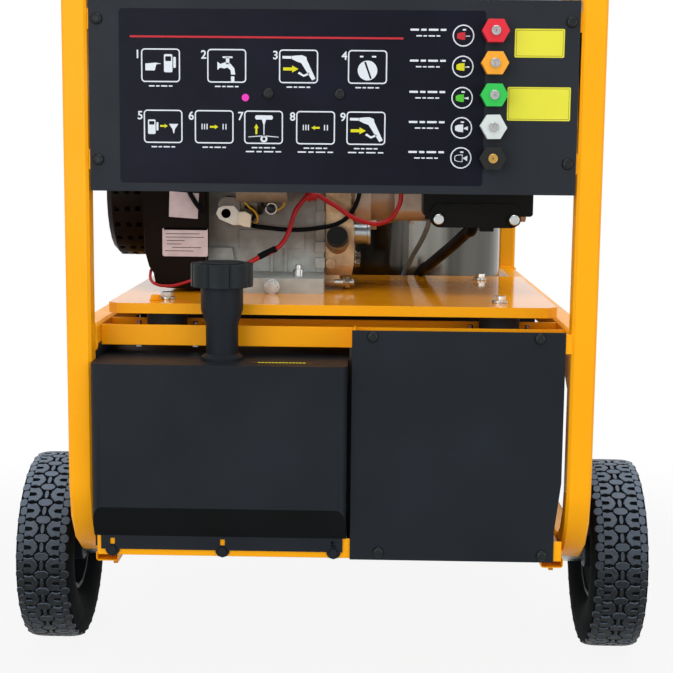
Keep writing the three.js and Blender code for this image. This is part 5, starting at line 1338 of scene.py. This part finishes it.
@dataclass
class ControlPanel:
    """The folded panel with its printed sheet, blank labels, screws and spray nozzles."""

    bench: Bench
    face: float = 2.0
    film: float = 0.22
    ink: float = 0.12
    lap: float = 0.02
    upper_row: tuple[Point, ...] = ((-203, 783.5), (-125, 783.5), (-40.5, 783.5), (40.5, 783.5))
    lower_row: tuple[Point, ...] = (
        (-200.5, 712.5), (-140, 712.5), (-81.5, 712.5), (-20, 712.5), (39.5, 712.5),
    )
    box: Point = (46.0, 39.0)
    ring_x: float = 152.0
    ring_heights: tuple[float, ...] = (820.5, 785.0, 749.0, 714.0, 679.0)
    nozzle_x: float = 188.0
    nozzle_heights: tuple[float, ...] = (825.0, 788.4, 751.8, 715.2, 678.6)
    tip: float = -22.3
    core: tuple[Point, ...] = (
        (5.5, 2), (5.5, -0.3), (5.0, -0.8), (3.6, -0.8), (3.3, -0.2), (2.0, -0.2), (1.7, -0.8), (0.9, -0.8),
        (0.8, 0.6),
    )
    screws: tuple[Point, ...] = ((-278, 837), (278, 837), (-278, 673), (278, 673), (-76, 752), (8, 752))

    def build(self) -> None:
        """Dress the panel and print, label and furnish it."""
        self.bench.dress(PANEL_COAT, "control_panel", bevel_mm=0.6)
        self.sheet()
        self.outlines()
        self.pictograms()
        self.digits()
        self.rings()
        self.labels()
        self.nozzles()
        heads = self.bench.shape("panel_screws")
        for x, z in self.screws:
            socket_screw(heads, x, z, self.face)
        heads.finish(BLACK_OXIDE, "machine", 0.2)

    def printed(
        self, name: str, outlines: Sequence[Sequence[Point]], finish: Finish, layer: int = 1
    ) -> None:
        """Print flat shapes on the sheet.

        Args:
            name: The piece's name.
            outlines: The shapes.
            finish: The ink.
            layer: Which layer of ink they are in, so that no two share a face.
        """
        base = self.face - self.film
        span = (base - self.ink * layer, base - self.ink * (layer - 1) + self.lap)
        self.bench.cut(name, Plane.FRONT, outlines, span, finish)

    def sheet(self) -> None:
        """Lay the navy film, its rule and its colour dot."""
        film, span = rounded_box(-252, 178, 646, 849, 4), (self.face - self.film, self.face - 0.01)
        self.bench.cut("panel_film", Plane.FRONT, [film], span, NAVY_FILM)
        self.printed("panel_rule", [rounded_box(-239, 82, 815.6, 817.8, 0.5)], RED_INK)
        self.printed("panel_dot", [circle(-103, 747, 4.3)], MAGENTA_INK)

    def outlines(self) -> None:
        """Print the round-cornered frames of the nine steps."""
        shape = self.bench.shape("panel_outlines")
        base = self.face - self.film
        w, h = self.box[0] / 2, self.box[1] / 2
        for x, z in (*self.upper_row, *self.lower_row):
            outer = rounded_box(x - w, x + w, z - h, z + h, 4.5, 5)
            inner = rounded_box(x - w + 1.5, x + w - 1.5, z - h + 1.5, z + h - 1.5, 3.0, 5)
            shape.band(Plane.FRONT, outer, inner, base - self.ink, base + self.lap)
        shape.finish(WHITE_INK, "machine", smooth=False)
        dashes: list[list[Point]] = []
        for x, z in (*self.upper_row, *self.lower_row):
            dashes += self.caption(x, z - h - 4.4, 14)
        for x, z in self.lower_row[2:]:
            dashes += self.caption(x, z - h - 9.0, 21)
        for height in self.ring_heights:
            dashes += self.caption(111, height + 6.4, 21, 2.4)
            dashes += self.caption(111, height - 0.6, 14)
        self.printed("panel_dashes", dashes, WHITE_INK)

    def caption(self, x: float, z: float, half: float, height: float = 1.5) -> list[list[Point]]:
        """Draw a line of plain dashes where a caption stands.

        Args:
            x: Its middle.
            z: Its middle height.
            half: Half its length.
            height: Height of the dashes.

        Returns:
            The dashes' outlines.
        """
        ends = (-1.0, -0.52, -0.4, -0.1, 0.02, 0.56, 0.68, 1.0)
        pairs = zip(ends[::2], ends[1::2])
        low, high = z - height / 2, z + height / 2
        return [rounded_box(x + a * half, x + b * half, low, high, 0.4, 2) for a, b in pairs]

    def pictograms(self) -> None:
        """Print plain shapes for the steps: can and pump, tap, gun, knob, lever, pull handle."""
        gun = (
            [
                [(-19, 12), (-19, 9), (-8.4, 8.8), (-8.4, 12)],
                [(-8, 12), (-8, 8.6), (-3, 6), (3, 4), (16, -16), (20, -14), (10, 7), (9, 11), (4, 13),
                 (-3, 12.6)],
                [(-1, -8), (6, -12), (13, -9), (12, -7), (6, -9.5), (1, -6)],
            ],
            [arrow(-9, -3, 18, 8)],
            [],
        )
        bars = [rounded_box(u, u + 1.2, -3, 3.5, 0.2, 2) for u in (-15, -12, -9, 10, 13.4)]
        signs = (
            (
                [
                    rounded_box(4, 14, -8, 13, 1.5, 2),
                    rounded_box(15, 18, -3, 10, 1.2, 2),
                    [(-18, -6), (-7, -6), (-5, 1), (1, 2), (-6, 3), (-18, 2)],
                ],
                [],
                [rounded_box(5.6, 12.4, 5, 10.5, 0.8, 2)],
            ),
            (
                [
                    rounded_box(-5, 7, 9, 11, 0.8, 2),
                    rounded_box(-1, 3, 2, 10, 0.6, 2),
                    [(-8, 2), (-2, 4), (4, 3), (9, -3), (10, -10), (5, -10), (4.5, -5), (1, -2), (-3, -3),
                     (-8, -2)],
                    [(-11, 5), (-8, 2.4), (-8, -2.4), (-11, -5)],
                    rounded_box(5, 9, -18, -12, 0.5, 2),
                ],
                [],
                [],
            ),
            gun,
            (
                [
                    circle(0, -4, 11.5, 28),
                    rounded_box(-9, -5, 11, 13, 0.3, 2),
                    rounded_box(5, 10, 11, 13, 0.3, 2),
                ],
                [],
                [[(-4, 5.5), (-2, 6.3), (5, -13), (3, -13.8)]],
            ),
            (
                [
                    rounded_box(-18, -9, -9, 8, 1.2, 2),
                    rounded_box(-8, -5.6, -5, 5, 1, 2),
                    [(7, 3), (18, 3), (14, -3), (13, -8), (12, -8), (11, -3)],
                ],
                [arrow(1, 0.5, 9, 5)],
                [rounded_box(-16.6, -10.4, 2, 6, 0.6, 2)],
            ),
            (bars, [arrow(0, 0, 10, 5)], []),
            (
                [
                    rounded_box(-10, 11, 9, 14, 2, 3),
                    [(-2, 9), (3, 9), (1.2, 3), (1.0, -10), (0, -10), (-0.2, 3)],
                    circle(0.5, -13.5, 4.2, 20),
                    [(-18, -11), (0, -9.4), (18, -11), (18, -11.8), (0, -10.4), (-18, -11.8)],
                ],
                [arrow(-8.5, -2, 12, 5.4, 90)],
                [circle(0.5, -13.5, 1.8, 16)],
            ),
            (bars, [arrow(0, 0, 10, 5, 180)], []),
            gun,
        )
        places = (*self.upper_row, *self.lower_row)
        inks = (("white", WHITE_INK, 1), ("yellow", YELLOW_INK, 2), ("dark", NAVY_FILM, 2))
        for i, (name, finish, layer) in enumerate(inks):
            drawn = [
                [(x + u, z + v) for u, v in outline]
                for (x, z), sign in zip(places, signs)
                for outline in sign[i]
            ]
            self.printed(f"panel_signs_{name}", drawn, finish, layer)

    def digits(self) -> None:
        """Print the step numbers 1 to 9 beside their frames."""
        w, h = self.box[0] / 2, self.box[1] / 2
        for number, (x, z) in enumerate((*self.upper_row, *self.lower_row), 1):
            text = bpy.data.curves.new(f"step_number_{number}", "FONT")
            text.body = str(number)
            text.size = 13.5 * MM
            text.extrude = 0.06 * MM
            text.offset = 0.25 * MM
            text.align_x = "RIGHT"
            text.align_y = "TOP"
            text.materials.append(WHITE_INK.build())
            piece = add_object(text.name, text)
            piece.rotation_euler = (math.pi / 2, 0, 0)
            piece.location = self.bench.row(x - w - 0.8, self.face - self.film - 0.08, z + h - 0.4)
            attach(piece, "machine")

    def rings(self) -> None:
        """Print the five nozzle signs: a ring, a nozzle and its spray."""
        x = self.ring_x
        shape = self.bench.shape("nozzle_rings")
        base = self.face - self.film
        for z in self.ring_heights:
            outer, inner = circle(x, z, 12.6, 36), circle(x, z, 11.2, 36)
            shape.band(Plane.FRONT, outer, inner, base - self.ink, base + self.lap)
        shape.finish(WHITE_INK, "machine", smooth=False)
        inks = (RED_INK, YELLOW_INK, GREEN_INK, WHITE_INK, WHITE_INK)
        spreads = (0.5, 1.0, 1.6, 2.4, 3.2)
        for number, (z, ink_used, spread) in enumerate(zip(self.ring_heights, inks, spreads), 1):
            cup = [(-7.5, -3), (-7.5, 2), (-4, 3.6), (2, 4), (2, -5), (-4, -4.4)]
            self.printed(f"nozzle_sign_{number}", [[(x + u, z + v) for u, v in cup]], ink_used)
            low, high = z - 0.5 - spread, z - 0.5 + spread
            jet = [(x + 2.6, z - 0.9), (x + 7.6, low), (x + 7.6, high), (x + 2.6, z - 0.1)]
            tab = rounded_box(x - 1, x + 3, z + 5.8, z + 7.6, 0.4, 2)
            self.printed(f"nozzle_jet_{number}", [jet, tab], WHITE_INK)
        hollow = [(-6.7, -2.4), (-6.7, 1.6), (-3.8, 2.8), (1.3, 3.2), (1.3, -4.2), (-3.8, -3.7)]
        z = self.ring_heights[-1]
        self.printed("nozzle_sign_open", [[(x + u, z + v) for u, v in hollow]], NAVY_FILM, 2)

    def labels(self) -> None:
        """Stick on the two blank yellow labels."""
        plates = (("label_upper", 212, 270, 796, 829), ("label_lower", 205, 279, 723, 762))
        for name, u0, u1, v0, v1 in plates:
            plate = rounded_box(u0, u1, v0, v1, 1.6)
            self.bench.cut(name, Plane.FRONT, [plate], (self.face - 0.3, self.face - 0.01), YELLOW_VINYL)
            edge = self.bench.shape(f"{name}_border")
            outer = rounded_box(u0 + 1.6, u1 - 1.6, v0 + 1.6, v1 - 1.6, 1.0)
            inner = rounded_box(u0 + 2.0, u1 - 2.0, v0 + 2.0, v1 - 2.0, 0.8)
            edge.band(Plane.FRONT, outer, inner, self.face - 0.36, self.face - 0.29)
            edge.finish(DARK_INK, "machine", smooth=False)

    def nozzles(self) -> None:
        """Dress the five nozzles and seat their metal cores."""
        colours = ("red", "yellow", "green", "white", "black")
        finishes = (RED_NYLON, AMBER_NYLON, GREEN_NYLON, WHITE_NYLON, BLACK_MOULDING)
        cores = (NICKEL, NICKEL, NICKEL, NICKEL, BRASS)
        for colour, finish, core, z in zip(colours, finishes, cores, self.nozzle_heights):
            self.bench.dress(finish, f"nozzle_{colour}", bevel_mm=1.4)
            profile = [(radius, self.tip + along) for radius, along in self.core]
            centre = (self.nozzle_x, 0, z)
            body = f"spray_nozzle_{colour}"
            self.bench.turn(f"nozzle_core_{colour}", Plane.FRONT, centre, profile, 32, core, body=body)


@dataclass
class Cables:
    """The red and black cables with their sleeve and boot."""

    bench: Bench
    red: tuple[Place, ...] = ()
    black: tuple[Place, ...] = ()

    def build(self) -> None:
        """Lay both cables."""
        thin = {number: 0.62 for number in range(10)}
        red = self.bench.wire("red_cable_smooth", self.red, 3.2, RED_INSULATION, slim=thin)
        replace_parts(red, "red_cable")
        black = self.bench.wire("black_cable_smooth", self.black, 3.0, HOSE_RUBBER)
        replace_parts(black, "black_cable")
        sleeve = [(-103, 202, 543), (-92, 206, 548.5), (-80, 208.5, 554)]
        self.bench.wire("red_cable_sleeve", sleeve, 4.4, HOSE_RUBBER)
        boot = [(-40, 221, 622), (-33, 221, 625.5), (-25, 221, 624)]
        self.bench.wire("red_cable_boot", boot, 6.2, RED_INSULATION)


PUMP_HOSE_ROUTE: tuple[Place, ...] = (
    (187, 234, 591), (186.5, 237, 584), (181, 270, 575), (166, 330, 553), (149, 390, 531), (137, 435, 515),
    (128, 480, 503), (122, 500, 488), (118, 504, 462), (118, 504, 420),
)
THIN_HOSE_ROUTE: tuple[Place, ...] = (
    (127, 240, 596), (127, 250, 590), (124.5, 300, 572), (118.5, 350, 552), (111.5, 400, 533),
    (106.5, 450, 514.5), (102, 487, 501), (98, 502, 484), (96, 502, 440),
)
RED_CABLE_ROUTE: tuple[Place, ...] = (
    (-246, 228, 538), (-247.5, 212, 528), (-249, 200, 519.5), (-246.5, 192, 510.5), (-238, 188, 505.5),
    (-226, 187, 504), (-212, 187, 505.5), (-194, 186.5, 511), (-172, 186, 517), (-147, 186, 524),
    (-120, 190, 533.5), (-100, 203, 544), (-81, 208, 553), (-68, 214, 567), (-50, 222, 612), (-31, 222, 626),
    (-8, 222, 616), (33, 222, 592.5), (66, 224, 590.5), (85, 225, 612), (88, 222, 636), (88, 205, 666),
    (88, 150, 695), (88, 80, 706), (88, 30, 707), (88, 4.75, 707),
)
BLACK_CABLE_ROUTE: tuple[Place, ...] = (
    (-116, 239.5, 584), (-112, 231, 583), (-98, 228, 581.5), (-60, 229, 578.5), (-24, 236, 581),
    (2, 241, 587), (18, 238, 599), (30, 236, 622), (32, 234, 640), (33, 232, 662), (35, 200, 696),
    (36, 120, 714), (36, 30, 718), (36, 4.75, 718),
)


# ---------------------------------------------------------------- studio


def seen_rays(tree: Tree) -> Socket:
    """Tell the rays that are seen from the rays that only light the machine.

    Args:
        tree: The floor's or the world's tree.

    Returns:
        1 for rays of the eye, of reflections and of glass, 0 for the rest.
    """
    path = add_node(tree, "ShaderNodeLightPath")
    first = combine(tree, "MAXIMUM", path.outputs["Is Camera Ray"], path.outputs["Is Glossy Ray"])
    return combine(tree, "MAXIMUM", first, path.outputs["Is Transmission Ray"])


@dataclass
class Studio:
    """Pale floor, soft light and the camera."""

    bench: Bench
    eye: Place = (41.9, -1614.4, 687.2)
    yaw: float = math.radians(1.23)
    pitch: float = math.radians(7.86)
    roll: float = -0.0099
    lens: float = 72.4
    aim: Place = (0, 0, 0.5)
    floor_radius: float = 6.0
    fade: Point = (0.6, 1.2)
    room_light: float = 0.92

    def build(self) -> None:
        """Set the camera, the world, the floor and the lamps."""
        self.camera()
        self.world()
        self.floor()
        self.lamp("key_softbox", (-1.8, -3.6, 1.25), 2.6, 44)
        self.lamp("fill_softbox", (2.6, -3.0, 0.55), 2.4, 31)
        self.lamp("top_softbox", (0.0, -0.6, 3.2), 2.0, 46)
        bpy.context.scene.view_settings.view_transform = "Standard"

    def camera(self) -> None:
        """Place the camera by its yaw, pitch and roll."""
        data = bpy.data.cameras.new("camera")
        data.lens = self.lens
        data.sensor_width = 36
        camera = add_object("camera", data)
        forward = Vector(
            (
                -math.sin(self.yaw) * math.cos(self.pitch),
                math.cos(self.yaw) * math.cos(self.pitch),
                -math.sin(self.pitch),
            )
        )
        right = Vector((math.cos(self.yaw), math.sin(self.yaw), 0))
        down = forward.cross(right)
        across = right * math.cos(self.roll) + down * math.sin(self.roll)
        below = -right * math.sin(self.roll) + down * math.cos(self.roll)
        turn = Matrix((across, -below, -forward)).transposed().to_4x4()
        camera.matrix_world = Matrix.Translation(self.bench.row(*self.eye)) @ turn
        bpy.context.scene.camera = camera

    def world(self) -> None:
        """Light the room evenly, with a white background for the eye and for reflections."""
        world = bpy.data.worlds.new("room")
        bpy.context.scene.world = world
        tree = bare_tree(world)
        soft = add_node(tree, "ShaderNodeBackground", {"Color": WHITE, "Strength": self.room_light})
        white = add_node(tree, "ShaderNodeBackground", {"Color": WHITE, "Strength": 1.0})
        mix = add_node(
            tree, "ShaderNodeMixShader", None,
            {0: seen_rays(tree), 1: soft.outputs["Background"], 2: white.outputs["Background"]},
        )
        add_node(tree, "ShaderNodeOutputWorld", None, {"Surface": mix.outputs["Shader"]})

    def floor(self) -> None:
        """Lay a pale floor that fades into the background."""
        bm = bmesh.new()
        bmesh.ops.create_circle(bm, cap_ends=True, radius=self.floor_radius, segments=64)
        mesh = bpy.data.meshes.new("floor")
        bm.to_mesh(mesh)
        bm.free()
        floor = add_object("floor", mesh)
        floor.location.z = -0.5 * MM
        material = bpy.data.materials.new("pale_studio_floor")
        tree = bare_tree(material)
        origin = add_node(tree, "ShaderNodeTexCoord")
        links = {0: origin.outputs["Object"]}
        length = add_node(tree, "ShaderNodeVectorMath", {"operation": "LENGTH"}, links)
        fade = add_node(
            tree, "ShaderNodeMapRange",
            {
                "From Min": self.fade[0],
                "From Max": self.fade[1],
                "To Min": 0.9,
                "interpolation_type": "SMOOTHSTEP",
            },
            {"Value": length.outputs["Value"]},
        )
        shown = combine(tree, "MULTIPLY", fade.outputs["Result"], seen_rays(tree))
        matt = add_node(tree, "ShaderNodeBsdfDiffuse", {"Color": linear("#969694")})
        glow = add_node(tree, "ShaderNodeEmission", {"Color": WHITE, "Strength": 1.0})
        mix = add_node(
            tree, "ShaderNodeMixShader", None,
            {0: shown, 1: matt.outputs["BSDF"], 2: glow.outputs["Emission"]},
        )
        add_node(tree, "ShaderNodeOutputMaterial", None, {"Surface": mix.outputs["Shader"]})
        mesh.materials.append(material)

    def lamp(self, name: str, place: Place, size: float, power: float) -> None:
        """Hang a square softbox that faces the machine.

        Args:
            name: Its name.
            place: Its place in metres.
            size: The length of its side in metres.
            power: Its power in watts.
        """
        light = bpy.data.lights.new(name, "AREA")
        light.size = size
        light.energy = power
        lamp = add_object(name, light)
        lamp.location = place
        lamp.rotation_euler = (Vector(self.aim) - Vector(place)).to_track_quat("-Z", "Y").to_euler()


def main() -> None:
    """Dress the frame, add the pieces and set the studio."""
    logging.basicConfig(level=logging.INFO, format="%(name)s: %(message)s")
    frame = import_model()
    bench = Bench(frame["nodes"])
    steps: list[Callable[[], None]] = [
        Studio(bench).build,
        Pump(bench, PUMP_HOSE_ROUTE, THIN_HOSE_ROUTE).build,
        Cables(bench, RED_CABLE_ROUTE, BLACK_CABLE_ROUTE).build,
        TubeFrame(bench).build,
        RunningGear(bench).build,
        EngineDeck(bench).build,
        Engine(bench).build,
        Boiler(bench).build,
        TankBay(bench).build,
        ControlPanel(bench).build,
    ]
    for step in steps:
        step()


if __name__ == "__main__":
    main()
